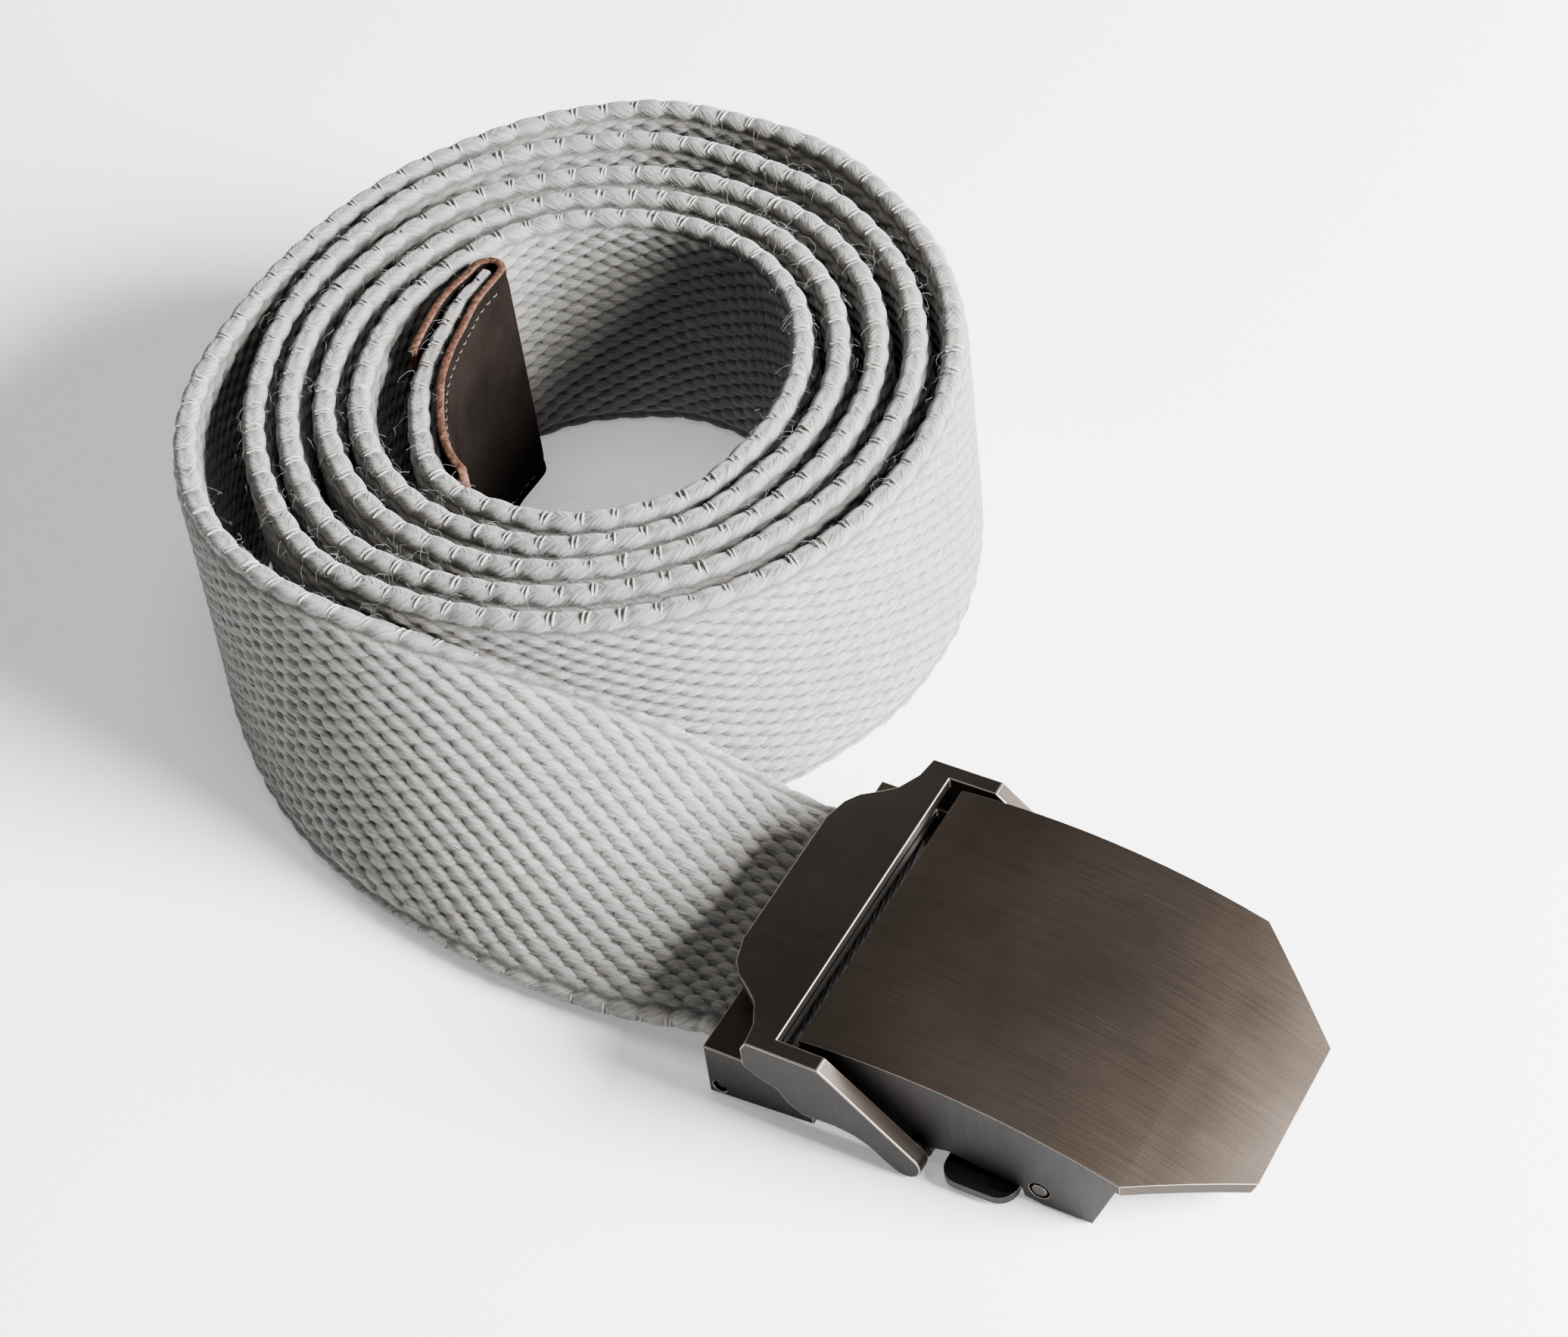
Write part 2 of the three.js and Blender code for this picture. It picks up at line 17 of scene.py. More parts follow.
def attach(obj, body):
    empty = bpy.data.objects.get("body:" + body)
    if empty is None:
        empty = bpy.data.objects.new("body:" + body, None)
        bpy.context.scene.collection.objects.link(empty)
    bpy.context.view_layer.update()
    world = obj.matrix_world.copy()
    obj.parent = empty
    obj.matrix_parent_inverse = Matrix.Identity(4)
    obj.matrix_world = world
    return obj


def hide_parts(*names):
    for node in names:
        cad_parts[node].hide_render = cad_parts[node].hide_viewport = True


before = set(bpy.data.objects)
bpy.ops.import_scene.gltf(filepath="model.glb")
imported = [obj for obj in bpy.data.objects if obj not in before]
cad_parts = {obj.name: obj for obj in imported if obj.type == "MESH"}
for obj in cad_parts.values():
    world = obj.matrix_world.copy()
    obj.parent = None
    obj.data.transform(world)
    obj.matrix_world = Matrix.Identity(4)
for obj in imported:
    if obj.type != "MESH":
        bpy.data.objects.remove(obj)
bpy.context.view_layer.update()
MM = 0.001
rng = np.random.default_rng(7)
print("nodes:", sorted(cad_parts))

# %% [markdown]
# ## The webbing's run
#
# A weaver's band keeps its width and thickness while it is rolled up, so the whole coil can be
# told by how far each turn lies from the one inside it. The rows below give the innermost
# radius each 30 degrees as a share of the bore, then the slack that opens every next turn. A
# smooth curve through these stations is the coil's lower edge. The strap leaves it on a Bezier
# curve while its upper edge leans over a quarter turn, so it arrives flat at the clamp.

# %% Sizes of the webbing
WIDTH = 38.0
THICKNESS = 3.8
CLEARANCE = 0.35
BORE = 30.0
SLACK = 4.0
COIL_TURNED = math.radians(34.7)
COIL_CENTRE = np.array([-60.8, 56.8])
EXIT_SLACK = 1.26
EXIT_HEADING = math.radians(-57.6)
EXIT_PULL = 60.0
ENTRY_PULL = 10.0
CLAMP_REAR = -12.85
CLAMP_ROOF_END = -4.2
STRAP_HEIGHT = 5.65
LEVEL_START = CLAMP_REAR - 1.0
RISE_START = 0.6
TURNS = 5
CURVE_SAMPLES = 24
STRAP_SAMPLES = 400
END_SAMPLES = 20

# Degrees: the first turn's radius as a share of the bore, then the four later turns' slack shares
COIL_ROWS = {
    180: (1.10, 1.02, 0.16, 0.19, 0.11),
    210: (1.17, 0.20, 0.10, 0.46, 0.11),
    240: (1.07, 0.10, 0.10, 0.13, 0.10),
    270: (0.90, 0.10, 0.10, 0.14, 0.31),
    300: (0.707, 0.14, 0.29, 0.19, 0.39),
    330: (0.623, 0.21, 0.21, 0.21, 0.31),
    360: (0.62, 0.19, 0.26, 0.26, 0.24),
    390: (0.697, 0.19, 0.29, 0.29, 0.34),
    420: (0.843, 0.16, 0.26, 0.49, 0.84),
    450: (1.04, 0.16, 0.29, 0.99, 0.86),
    480: (1.243, 0.19, 0.36, 0.69, 0.10),
    510: (1.33, 0.24, 0.31, 0.16, 0.29),
}
# Degrees: radius as a share of the bore, then the flattened tip's share of the thickness
TIP_ROWS = {134: (1.10, 0.62), 150: (1.075, 0.80)}


# %% Where the buckle stands in the frame
def buckle_place():
    """The buckle's own origin in frame millimetres: ahead of the clamp's rear wall by its
    known distance, at the middle of the clamp's width, on the floor."""
    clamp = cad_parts["end_clamp"]
    corners = np.array([clamp.matrix_world @ Vector(corner) for corner in clamp.bound_box]) / MM
    low, high = corners.min(axis=0), corners.max(axis=0)
    return np.array([low[0] - CLAMP_REAR, (low[1] + high[1]) / 2, 0.0])


FRAME_SHIFT = buckle_place()
print("buckle's origin in the frame:", FRAME_SHIFT.round(3))


# %% The coil's stations and the curve through them
def coil_stations():
    """Angle, radius and thickness share of each station: bore share times the bore, plus a
    pitch for each turn passed, plus the slack of the turns passed."""
    stations = [(angle, bore * BORE, thick) for angle, (bore, thick) in TIP_ROWS.items()]
    for turn in range(TURNS):
        for angle, row in COIL_ROWS.items():
            slack = sum(row[1 : turn + 1]) * SLACK
            radius = row[0] * BORE + turn * (THICKNESS + CLEARANCE) + slack
            stations.append((angle + 360 * turn, radius, 1.0))
    angle, radius, _ = stations[-len(COIL_ROWS)]
    stations.append((angle + 360, radius + THICKNESS + CLEARANCE + EXIT_SLACK * SLACK, 1.0))
    return np.array(stations)


STATIONS = coil_stations()
station_angles = np.radians(STATIONS[:, 0]) + COIL_TURNED
station_points = COIL_CENTRE + STATIONS[:, 1:2] * np.stack(
    [np.cos(station_angles), np.sin(station_angles)], axis=1
)
exit_direction = np.array([math.cos(EXIT_HEADING), math.sin(EXIT_HEADING)])
exit_step = np.linalg.norm(station_points[-1] - station_points[-2])
past_exit = station_points[-2] + exit_direction * 2 * exit_step
CURVE_POINTS = np.vstack([station_points, past_exit])


def coil_feet(places):
    """Points of the coil's lower edge at fractional station numbers: a Catmull-Rom curve,
    where each stretch leaves and arrives along half the chord between its neighbours."""
    last = len(CURVE_POINTS) - 1
    low = np.minimum(np.floor(places).astype(int), last - 1)
    share = (places - low)[:, None]
    start, end = CURVE_POINTS[low], CURVE_POINTS[low + 1]
    first = 2 * CURVE_POINTS[0] - CURVE_POINTS[1]
    after = 2 * CURVE_POINTS[last] - CURVE_POINTS[last - 1]
    before_start = np.where((low > 0)[:, None], CURVE_POINTS[low - 1], first)
    reach = np.minimum(low + 2, last)
    after_end = np.where((low + 2 <= last)[:, None], CURVE_POINTS[reach], after)
    leave = 0.5 * (end - before_start)
    arrive = 0.5 * (after_end - start)
    square = -3 * start + 3 * end - 2 * leave - arrive
    cube = 2 * start - 2 * end + leave + arrive
    return start + leave * share + square * share**2 + cube * share**3


def smoothstep(share, low, high):
    """Zero before low, one after high, and an even S between: 3x squared less 2x cubed."""
    x = np.clip((share - low) / (high - low), 0, 1)
    return x * x * (3 - 2 * x)


# %% The whole run, from the leather tip to the clamp
def webbing_run():
    """Foot, lean and thickness share along the band: the coil's curve, then the strap's
    Bezier curve with its quarter turn, then the straight end inside the clamp."""
    places = np.linspace(0, len(STATIONS) - 1, (len(STATIONS) - 1) * CURVE_SAMPLES + 1)
    coil = np.column_stack([coil_feet(places), np.zeros(len(places))])
    thick = np.interp(places, np.arange(len(STATIONS)), STATIONS[:, 2])
    share = np.linspace(0, 1, STRAP_SAMPLES + 1)[1:, None]
    corner = [
        CURVE_POINTS[-2],
        CURVE_POINTS[-2] + exit_direction * EXIT_PULL,
        np.array([LEVEL_START - ENTRY_PULL, -WIDTH / 2]),
        np.array([LEVEL_START, -WIDTH / 2]),
    ]
    level = (
        corner[0] * (1 - share) ** 3
        + corner[1] * 3 * share * (1 - share) ** 2
        + corner[2] * 3 * share**2 * (1 - share)
        + corner[3] * share**3
    )
    lean = smoothstep(share[:, 0], 0, 1) * math.pi / 2
    rise = (STRAP_HEIGHT - THICKNESS / 2) * smoothstep(share[:, 0], RISE_START, 1)
    strap = np.column_stack([level, THICKNESS / 2 * np.sin(lean) + rise])
    ahead = np.linspace(0, 1, END_SAMPLES)[1:, None]
    end = np.repeat(strap[-1:], len(ahead), axis=0)
    end[:, 0] += ahead[:, 0] * (CLAMP_ROOF_END - CLEARANCE - strap[-1, 0])
    feet = np.vstack([coil, strap, end])
    leans = np.concatenate([np.zeros(len(coil)), lean, np.full(len(end), math.pi / 2)])
    thicks = np.concatenate([thick, np.ones(len(strap) + len(end))])
    return feet, leans, thicks


def unit(vectors):
    return vectors / np.linalg.norm(vectors, axis=-1, keepdims=True)


def even_run(step):
    """The band's centre line sampled at equal lengths, with its width and face directions."""
    feet, leans, thicks = webbing_run()
    level = np.gradient(feet, axis=0) * [1, 1, 0]
    up = np.array([0.0, 0.0, 1.0])
    wide = up * np.cos(leans)[:, None] + np.cross(up, unit(level)) * np.sin(leans)[:, None]
    centres = feet + wide * WIDTH / 2
    lengths = np.linalg.norm(np.diff(centres, axis=0), axis=1)
    along = np.concatenate([[0], np.cumsum(lengths)])
    count = int(round(along[-1] / step))
    even = np.linspace(0, along[-1], count + 1)

    def at_even_lengths(values):
        return np.column_stack([np.interp(even, along, column) for column in values.T])

    centre, width = at_even_lengths(centres), unit(at_even_lengths(wide))
    ahead = unit(np.gradient(centre, axis=0))
    face = unit(np.cross(ahead, width))
    width = unit(np.cross(face, ahead))
    return even, centre, width, face, np.interp(even, along, thicks)


STEP = 0.75
RUN, CENTRE, WIDE, FACE, THICK = even_run(STEP)
print("webbing length %.1f mm in %d columns" % (RUN[-1], len(RUN)))


# %% Helpers that turn arrays into pieces
def mesh_piece(name, points, quads, body):
    """A smooth mesh object from points in buckle millimetres and four-cornered faces."""
    mesh = bpy.data.meshes.new(name)
    places = ((points + FRAME_SHIFT) * MM).astype(np.float32)
    mesh.vertices.add(len(places))
    mesh.vertices.foreach_set("co", places.ravel())
    mesh.loops.add(quads.size)
    mesh.loops.foreach_set("vertex_index", quads.astype(np.int32).ravel())
    mesh.polygons.add(len(quads))
    mesh.polygons.foreach_set("loop_start", np.arange(0, quads.size, 4, dtype=np.int32))
    mesh.polygons.foreach_set("use_smooth", np.ones(len(quads), bool))
    mesh.update(calc_edges=True)
    piece = bpy.data.objects.new(name, mesh)
    bpy.context.scene.collection.objects.link(piece)
    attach(piece, body)
    return piece


def tube_faces(rings, sides):
    """Faces of a closed tube of rings, with both ends bridged across the ring's halves."""
    ring = np.arange(rings - 1)[:, None] * sides
    side = np.arange(sides)[None, :]
    ahead = (side + 1) % sides
    wall = np.stack([ring + side, ring + sides + side, ring + sides + ahead, ring + ahead], -1)
    half = np.arange(sides // 2 - 1)
    cap = np.stack([half, half + 1, sides - 2 - half, sides - 1 - half], -1)
    end = cap[:, ::-1] + (rings - 1) * sides
    return np.vstack([wall.reshape(-1, 4), cap, end])


def set_uv(mesh, coordinates):
    """One texture coordinate for each vertex, carried to its corners."""
    corner = np.empty(len(mesh.loops), np.int32)
    mesh.loops.foreach_get("vertex_index", corner)
    layer = mesh.uv_layers.new(name="run")
    layer.uv.foreach_set("vector", coordinates[corner].astype(np.float32).ravel())


def set_value(mesh, name, values):
    layer = mesh.attributes.new(name, "FLOAT", "POINT")
    layer.data.foreach_set("value", values.astype(np.float32))


# %% [markdown]
# ## The woven band
#
# Heavy webbing is woven in two layers, so each face shows short oval floats of yarn, set like
# bricks: every other column is moved up by half a row. Each float is a small dome, and the
# holes between four floats are where the yarns dive. The selvedge, where the weft turns back,
# is a round rope with a waist at each column. A grid of two parameters, along and round the
# band, carries both.

# %% The band's section and relief
COLUMN_PITCH = 4.5
EDGE_RADIUS = 1.85
FACE_HALF = WIDTH / 2 - EDGE_RADIUS
FACE_ROWS = 15
ROW_PITCH = 2 * FACE_HALF / FACE_ROWS
SAMPLES_PER_ROW = 5
EDGE_SAMPLES = 11


def section():
    """Points round the band: (across, off the middle), outward direction, and how far round
    the selvedge each one is, from -1 to 1, or 0 on a face."""
    face = np.linspace(-FACE_HALF, FACE_HALF, FACE_ROWS * SAMPLES_PER_ROW + 1)
    turn = np.linspace(math.pi / 2, -math.pi / 2, EDGE_SAMPLES + 2)[1:-1]
    top = np.column_stack([face, np.full(len(face), EDGE_RADIUS)])
    top_out = np.tile([0.0, 1.0], (len(face), 1))
    out = np.column_stack([np.cos(turn), np.sin(turn)])
    edge = out * EDGE_RADIUS + [FACE_HALF, 0]
    points = np.vstack([top, edge, -top, -edge])
    outward = np.vstack([top_out, out, -top_out, -out])
    on_edge = np.concatenate([np.zeros(len(face)), np.ones(len(turn))] * 2)
    return points, outward, on_edge


FLOAT_HALF_LENGTH = 1.75
FLOAT_HALF_HEIGHT = 1.0
FLOAT_SLANT = 0.12
ROPE_HALF_LENGTH = 2.6
ROPE_HALF_HEIGHT = 1.5
ROPE_SPREAD = 1.0
ROPE_STAGGER = 0.35
WAVE_COUNT = 6
SHORTEST_WAVE = 9
LONGEST_WAVE = 40


def float_relief(along, across):
    """Height of the yarn floats, 0 in the holes and 1 on top: the higher of two sets of
    elliptical domes, the second set moved by half a column and half a row."""
    def domes(shift):
        column = along / COLUMN_PITCH + shift
        row = across / ROW_PITCH + shift
        off_column = (column - np.round(column)) * COLUMN_PITCH
        off_row = (row - np.round(row)) * ROW_PITCH + FLOAT_SLANT * off_column
        far = (off_column / FLOAT_HALF_LENGTH) ** 2 + (off_row / FLOAT_HALF_HEIGHT) ** 2
        return np.sqrt(np.clip(1 - far, 0, 1))
    return np.maximum(domes(0.0), domes(0.5))


def rope_relief(along, round_edge):
    """Height of the selvedge: two domes side by side round the edge in every column, the outer
    one a little ahead, with a waist before the next column."""
    def domes(side):
        column = (along - side * ROPE_STAGGER) / COLUMN_PITCH
        off_column = (column - np.round(column)) * COLUMN_PITCH
        off_round = round_edge - side * ROPE_SPREAD
        far = (off_column / ROPE_HALF_LENGTH) ** 2 + (off_round / ROPE_HALF_HEIGHT) ** 2
        return np.sqrt(np.clip(1 - far, 0, 1))
    return np.maximum(domes(1), domes(-1))


def slow_noise(along, across, seed):
    """A few long waves with unrelated lengths, for the slack of real cloth."""
    waves = np.random.default_rng(seed)
    total = np.zeros(np.broadcast(along, across).shape)
    for _ in range(WAVE_COUNT):
        length = waves.uniform(SHORTEST_WAVE, LONGEST_WAVE)
        slant = waves.uniform(-1, 1)
        total += np.sin((along + slant * across) / length * 2 * math.pi + waves.uniform(0, 6))
    return total / WAVE_COUNT


FACE_HEIGHT = 0.66
FACE_LEVEL = 0.80
ROPE_HEIGHT = 0.68
ROPE_LEVEL = 0.78
BLEND_ON_FACE = 0.9
BLEND_PAST_FACE = 0.3
UNEVEN_THICKNESS = 0.05
UNEVEN_WIDTH = 0.012
THICKNESS_SEED = 3
WIDTH_SEED = 5
LOWEST_BAND_POINT = 0.02
SECTION, OUTWARD, ON_EDGE = section()


def band_surface():
    """Points, texture places and relief of the whole band. Each point is the middle line's
    point, plus its place across times the width direction, plus its place off the middle
    times the face direction. The relief moves it outward by (dome - level) x height, with the
    floats' domes on the faces and the rope's domes round the selvedges."""
    run = RUN[:, None]
    across, off = SECTION[:, 0][None, :], SECTION[:, 1][None, :]
    edge = ON_EDGE[None, :]
    floats = float_relief(run, across + 0.0 * run)
    turned = np.arctan2(off, np.maximum(np.abs(across) - FACE_HALF, 0) + 1e-9)
    rope = rope_relief(run, turned * EDGE_RADIUS * np.sign(across))
    near_edge = smoothstep(
        np.abs(across), FACE_HALF - BLEND_ON_FACE, FACE_HALF + BLEND_PAST_FACE
    )
    relief = floats * (1 - near_edge) + rope * near_edge
    height = (floats - FACE_LEVEL) * FACE_HEIGHT * (1 - near_edge)
    height = height + (rope - ROPE_LEVEL) * ROPE_HEIGHT * near_edge
    height = height + UNEVEN_THICKNESS * slow_noise(run, across, THICKNESS_SEED)
    swell = 1 + UNEVEN_WIDTH * slow_noise(run, across * 0, WIDTH_SEED)
    wide = across * swell + OUTWARD[:, 0][None, :] * height
    deep = (off + OUTWARD[:, 1][None, :] * height) * THICK[:, None]
    points = (
        CENTRE[:, None, :]
        + wide[..., None] * WIDE[:, None, :]
        + deep[..., None] * FACE[:, None, :]
    )
    points[..., 2] = np.maximum(points[..., 2], LOWEST_BAND_POINT)
    round_edge = (FACE_HALF + EDGE_RADIUS * np.abs(turned)) * np.sign(across)
    unrolled = across * (1 - edge) + round_edge * edge
    texture = np.stack(np.broadcast_arrays(run * MM, unrolled * MM), -1)
    return points, texture, relief, near_edge + 0 * run


# %% Lay the band in five closed lengths
BAND_PIECES = 5


def lay_band(material):
    """The band in equal lengths that share their end columns, each below 200,000 triangles."""
    cuts = np.linspace(0, len(RUN) - 1, BAND_PIECES + 1).round().astype(int)
    points, texture, relief, near_edge = band_surface()
    along = np.gradient(points, axis=0)
    wrapped = np.concatenate([points[:, -1:], points, points[:, :1]], axis=1)
    around = (wrapped[:, 2:] - wrapped[:, :-2]) / 2
    normals = unit(np.cross(around, along) + 1e-12)
    row, place = 10, 5
    outside = (normals[row, place] * (points[row, place] - CENTRE[row])).sum()
    normals = normals * np.sign(outside)
    sides = len(SECTION)
    pieces = []
    for number, (first, last) in enumerate(zip(cuts[:-1], cuts[1:])):
        rows = slice(first, last + 1)
        faces = tube_faces(last + 1 - first, sides)
        piece = mesh_piece(
            f"webbing_length_{number + 1}", points[rows].reshape(-1, 3), faces,
            "strap_side",
        )
        set_uv(piece.data, texture[rows].reshape(-1, 2))
        # The relief also sets the cotton's painted shade in the holes and waists.
        set_value(piece.data, "relief", relief[rows].ravel())
        set_value(piece.data, "selvedge", near_edge[rows].ravel())
        piece.data.normals_split_custom_set_from_vertices(normals[rows].reshape(-1, 3).tolist())
        piece.data.materials.append(material)
        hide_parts("webbing")
        pieces.append(piece)
    return pieces


# %% [markdown]
# ## Materials
#
# Every finish is worked out from the piece's own coordinates, so it stays put when the belt
# moves. Cotton is matt with a light sheen, and painted shade darkens its holes; leather is near
# black with a fine grain and a red-brown cut edge; the metal is a dark bronze-grey with long
# brush strokes.

# %% Node helpers
def new_material(name):
    material = bpy.data.materials.new(name)
    material.use_nodes = True
    tree = material.node_tree
    return material, tree, tree.nodes["Principled BSDF"]


def add(tree, kind, **values):
    """A node with its inputs set by name, and its own settings by lower-case name."""
    node = tree.nodes.new(kind)
    for name, value in values.items():
        if hasattr(node, name):
            setattr(node, name, value)
        else:
            node.inputs[name.replace("_", " ")].default_value = value
    return node


def join(tree, source, target):
    tree.links.new(source, target)


def ramp(tree, source, stops):
    """A colour ramp over a value: stops are (place, colour) from low to high."""
    node = tree.nodes.new("ShaderNodeValToRGB")
    elements = node.color_ramp.elements
    while len(elements) < len(stops):
        elements.new(0.5)
    for element, (place, colour) in zip(elements, stops):
        element.position = place
        element.color = (*colour, 1)
    join(tree, source, node.inputs["Fac"])
    return node


def grey(value):
    return (value, value, value)


def scaled(tree, source, scale):
    node = add(tree, "ShaderNodeMapping")
    node.inputs["Scale"].default_value = scale
    join(tree, source, node.inputs["Vector"])
    return node.outputs["Vector"]


# %% Cotton
def reckon(tree, operation, *values):
    """A Math node over sockets or plain numbers."""
    node = tree.nodes.new("ShaderNodeMath")
    node.operation = operation
    for slot, value in zip(node.inputs, values):
        if isinstance(value, (int, float)):
            slot.default_value = value
        else:
            join(tree, value, slot)
    return node.outputs["Value"]


def woven_height(tree, along, across):
    """The same brick pattern of domes as the band's relief, worked out for each point."""
    heights = []
    for shift in (0.0, 0.5):
        column = reckon(tree, "ADD", reckon(tree, "DIVIDE", along, COLUMN_PITCH * MM), shift)
        row = reckon(tree, "ADD", reckon(tree, "DIVIDE", across, ROW_PITCH * MM), shift)
        off_column = reckon(tree, "SUBTRACT", column, reckon(tree, "ROUND", column))
        off_row = reckon(tree, "SUBTRACT", row, reckon(tree, "ROUND", row))
        slant = FLOAT_SLANT * COLUMN_PITCH / ROW_PITCH
        leaning = reckon(tree, "MULTIPLY_ADD", off_column, slant, off_row)
        long_way = reckon(tree, "MULTIPLY", off_column, COLUMN_PITCH / FLOAT_HALF_LENGTH)
        short_way = reckon(tree, "MULTIPLY", leaning, ROW_PITCH / FLOAT_HALF_HEIGHT)
        short_square = reckon(tree, "POWER", short_way, 2.0)
        far = reckon(tree, "MULTIPLY_ADD", long_way, long_way, short_square)
        inside = reckon(tree, "MAXIMUM", reckon(tree, "SUBTRACT", 1.0, far), 0.0)
        heights.append(reckon(tree, "SQRT", inside))
    return reckon(tree, "MAXIMUM", *heights)


def mixed_colour(tree, first, second, factor, blend="MULTIPLY"):
    """A colour Mix node over two sockets, with a socket or a plain number as its factor."""
    node = add(tree, "ShaderNodeMix", data_type="RGBA", blend_type=blend)
    for slot, value in (("Factor", factor), ("A", first), ("B", second)):
        if isinstance(value, (int, float)):
            node.inputs[slot].default_value = value
        else:
            join(tree, value, node.inputs[slot])
    return node.outputs["Result"]


def mixed_value(tree, first, second, factor):
    """A plain Mix node over two value sockets."""
    node = add(tree, "ShaderNodeMix", data_type="FLOAT")
    join(tree, factor, node.inputs["Factor"])
    join(tree, first, node.inputs["A"])
    join(tree, second, node.inputs["B"])
    return node.outputs["Result"]


# Scales of the fibre noise along and across the yarns, in waves per metre
STRAIGHT_FIBRES = (330, 2900, 1)
SLANTED_FIBRES = (300, 2400, 1)
SLANT_OF_FIBRES = math.radians(-38)
# Depths of the relief where the cotton's painted shade is half gone and all gone.
HALF_SHADE_DEPTH = 0.35
UNSHADED_DEPTH = 0.8


def straight_fibres(tree, uv):
    """Noise drawn out along the band, for the yarns of the faces."""
    noise = add(
        tree, "ShaderNodeTexNoise", Scale=1.0, Detail=3.0, Roughness=0.65, Distortion=0.8
    )
    join(tree, scaled(tree, uv, STRAIGHT_FIBRES), noise.inputs["Vector"])
    return noise.outputs["Fac"]


def slanted_fibres(tree, uv):
    """Noise drawn out on a slant, for the yarns that turn round the selvedge."""
    noise = add(
        tree, "ShaderNodeTexNoise", Scale=1.0, Detail=3.0, Roughness=0.65, Distortion=0.5
    )
    lean = add(tree, "ShaderNodeMapping", vector_type="TEXTURE")
    lean.inputs["Rotation"].default_value = (0, 0, SLANT_OF_FIBRES)
    lean.inputs["Scale"].default_value = [1 / waves for waves in SLANTED_FIBRES]
    join(tree, uv, lean.inputs["Vector"])
    join(tree, lean.outputs["Vector"], noise.inputs["Vector"])
    return noise.outputs["Fac"]


def cotton(name, light, dark, woven=True):
    """Matt cotton: painted shade darkens it between the yarns and in the selvedge's waists,
    following the relief; broken up by slow noise, with fine fibres that follow the yarns on the
    faces and lie slanting on the selvedge."""
    material, tree, shader = new_material(name)
    uv = add(tree, "ShaderNodeUVMap", uv_map="run").outputs["UV"]
    place = add(tree, "ShaderNodeTexCoord").outputs["Object"]
    relief = add(tree, "ShaderNodeAttribute", attribute_name="relief").outputs["Fac"]
    fibres = straight_fibres(tree, uv)
    depth = relief
    if woven:
        selvedge = add(tree, "ShaderNodeAttribute", attribute_name="selvedge").outputs["Fac"]
        fibres = mixed_value(tree, fibres, slanted_fibres(tree, uv), selvedge)
        parts = add(tree, "ShaderNodeSeparateXYZ")
        join(tree, uv, parts.inputs["Vector"])
        domes = woven_height(tree, parts.outputs["X"], parts.outputs["Y"])
        depth = mixed_value(tree, domes, relief, selvedge)
    patches = add(tree, "ShaderNodeTexNoise", Scale=90.0, Detail=4.0, Roughness=0.6)
    join(tree, place, patches.inputs["Vector"])
    # Painted shade: the colour runs from dark in the holes up to light on the domes' tops.
    half_shade = [0.6 * bright + 0.4 * dim for bright, dim in zip(light, dark)]
    tone = ramp(tree, depth, [(0.0, dark), (HALF_SHADE_DEPTH, half_shade), (UNSHADED_DEPTH, light)])
    stain = ramp(tree, patches.outputs["Fac"], [(0.3, (0.84, 0.83, 0.81)), (0.7, (1, 1, 1))])
    streaks = ramp(tree, fibres, [(0.36, grey(0.42)), (0.60, grey(1.0))])
    colour = mixed_colour(tree, tone.outputs["Color"], stain.outputs["Color"], 0.6)
    colour = mixed_colour(tree, colour, streaks.outputs["Color"], 0.8)
    join(tree, colour, shader.inputs["Base Color"])
    coarse = add(tree, "ShaderNodeBump", Strength=0.6 if woven else 0.0, Distance=0.0004)
    join(tree, depth, coarse.inputs["Height"])
    bump = add(tree, "ShaderNodeBump", Strength=0.8, Distance=0.0004)
    join(tree, fibres, bump.inputs["Height"])
    join(tree, coarse.outputs["Normal"], bump.inputs["Normal"])
    join(tree, bump.outputs["Normal"], shader.inputs["Normal"])
    shader.inputs["Roughness"].default_value = 0.92
    shader.inputs["Specular IOR Level"].default_value = 0.2
    shader.inputs["Sheen Weight"].default_value = 0.2
    shader.inputs["Sheen Roughness"].default_value = 0.6
    return material


# The second colour is the painted shade in the holes between the yarns and in the selvedge's
# waists.
band_cotton = cotton("band cotton", (0.202, 0.193, 0.181), (0.068, 0.064, 0.058))
band = lay_band(band_cotton)
print("band pieces:", [len(piece.data.polygons) for piece in band])


# %% Fine yarn pieces: many small tubes at once
STEEP = 0.9
TUBE_TEXTURE_LENGTH = 0.003
TUBE_TEXTURE_STAGGER = 0.0137


def fine_tubes(name, paths, radii, sides, material, body):
    """Closed tubes along many short paths. Each ring stands across its path: the path's point
    plus the radius times (cosine x one cross direction + sine x the other)."""
    ahead = unit(np.gradient(paths, axis=1))
    guide = np.where(np.abs(ahead[..., 2:3]) > STEEP, [[1.0, 0, 0]], [[0, 0, 1.0]])
    across = unit(np.cross(ahead, guide))
    other = np.cross(ahead, across)
    turn = np.arange(sides) * 2 * math.pi / sides
    ring = (
        across[:, :, None, :] * np.cos(turn)[:, None] + other[:, :, None, :] * np.sin(turn)[:, None]
    )
    points = paths[:, :, None, :] + ring * radii[..., None, None]
    count, rings = paths.shape[:2]
    faces = tube_faces(rings, sides)[:, ::-1]
    shift = np.arange(count)[:, None, None] * rings * sides
    piece = mesh_piece(name, points.reshape(-1, 3), (faces + shift).reshape(-1, 4), body)
    # Full relief, so the cotton tubes take no painted shade.
    set_value(piece.data, "relief", np.ones(len(piece.data.vertices)))
    where = np.repeat(np.linspace(0, TUBE_TEXTURE_LENGTH, rings), sides)
    stagger = np.arange(count)[:, None] * TUBE_TEXTURE_STAGGER
    coordinates = np.stack(np.broadcast_arrays(where[None, :] + stagger, stagger), -1)
    set_uv(piece.data, coordinates.reshape(-1, 2))
    piece.data.materials.append(material)
    return piece


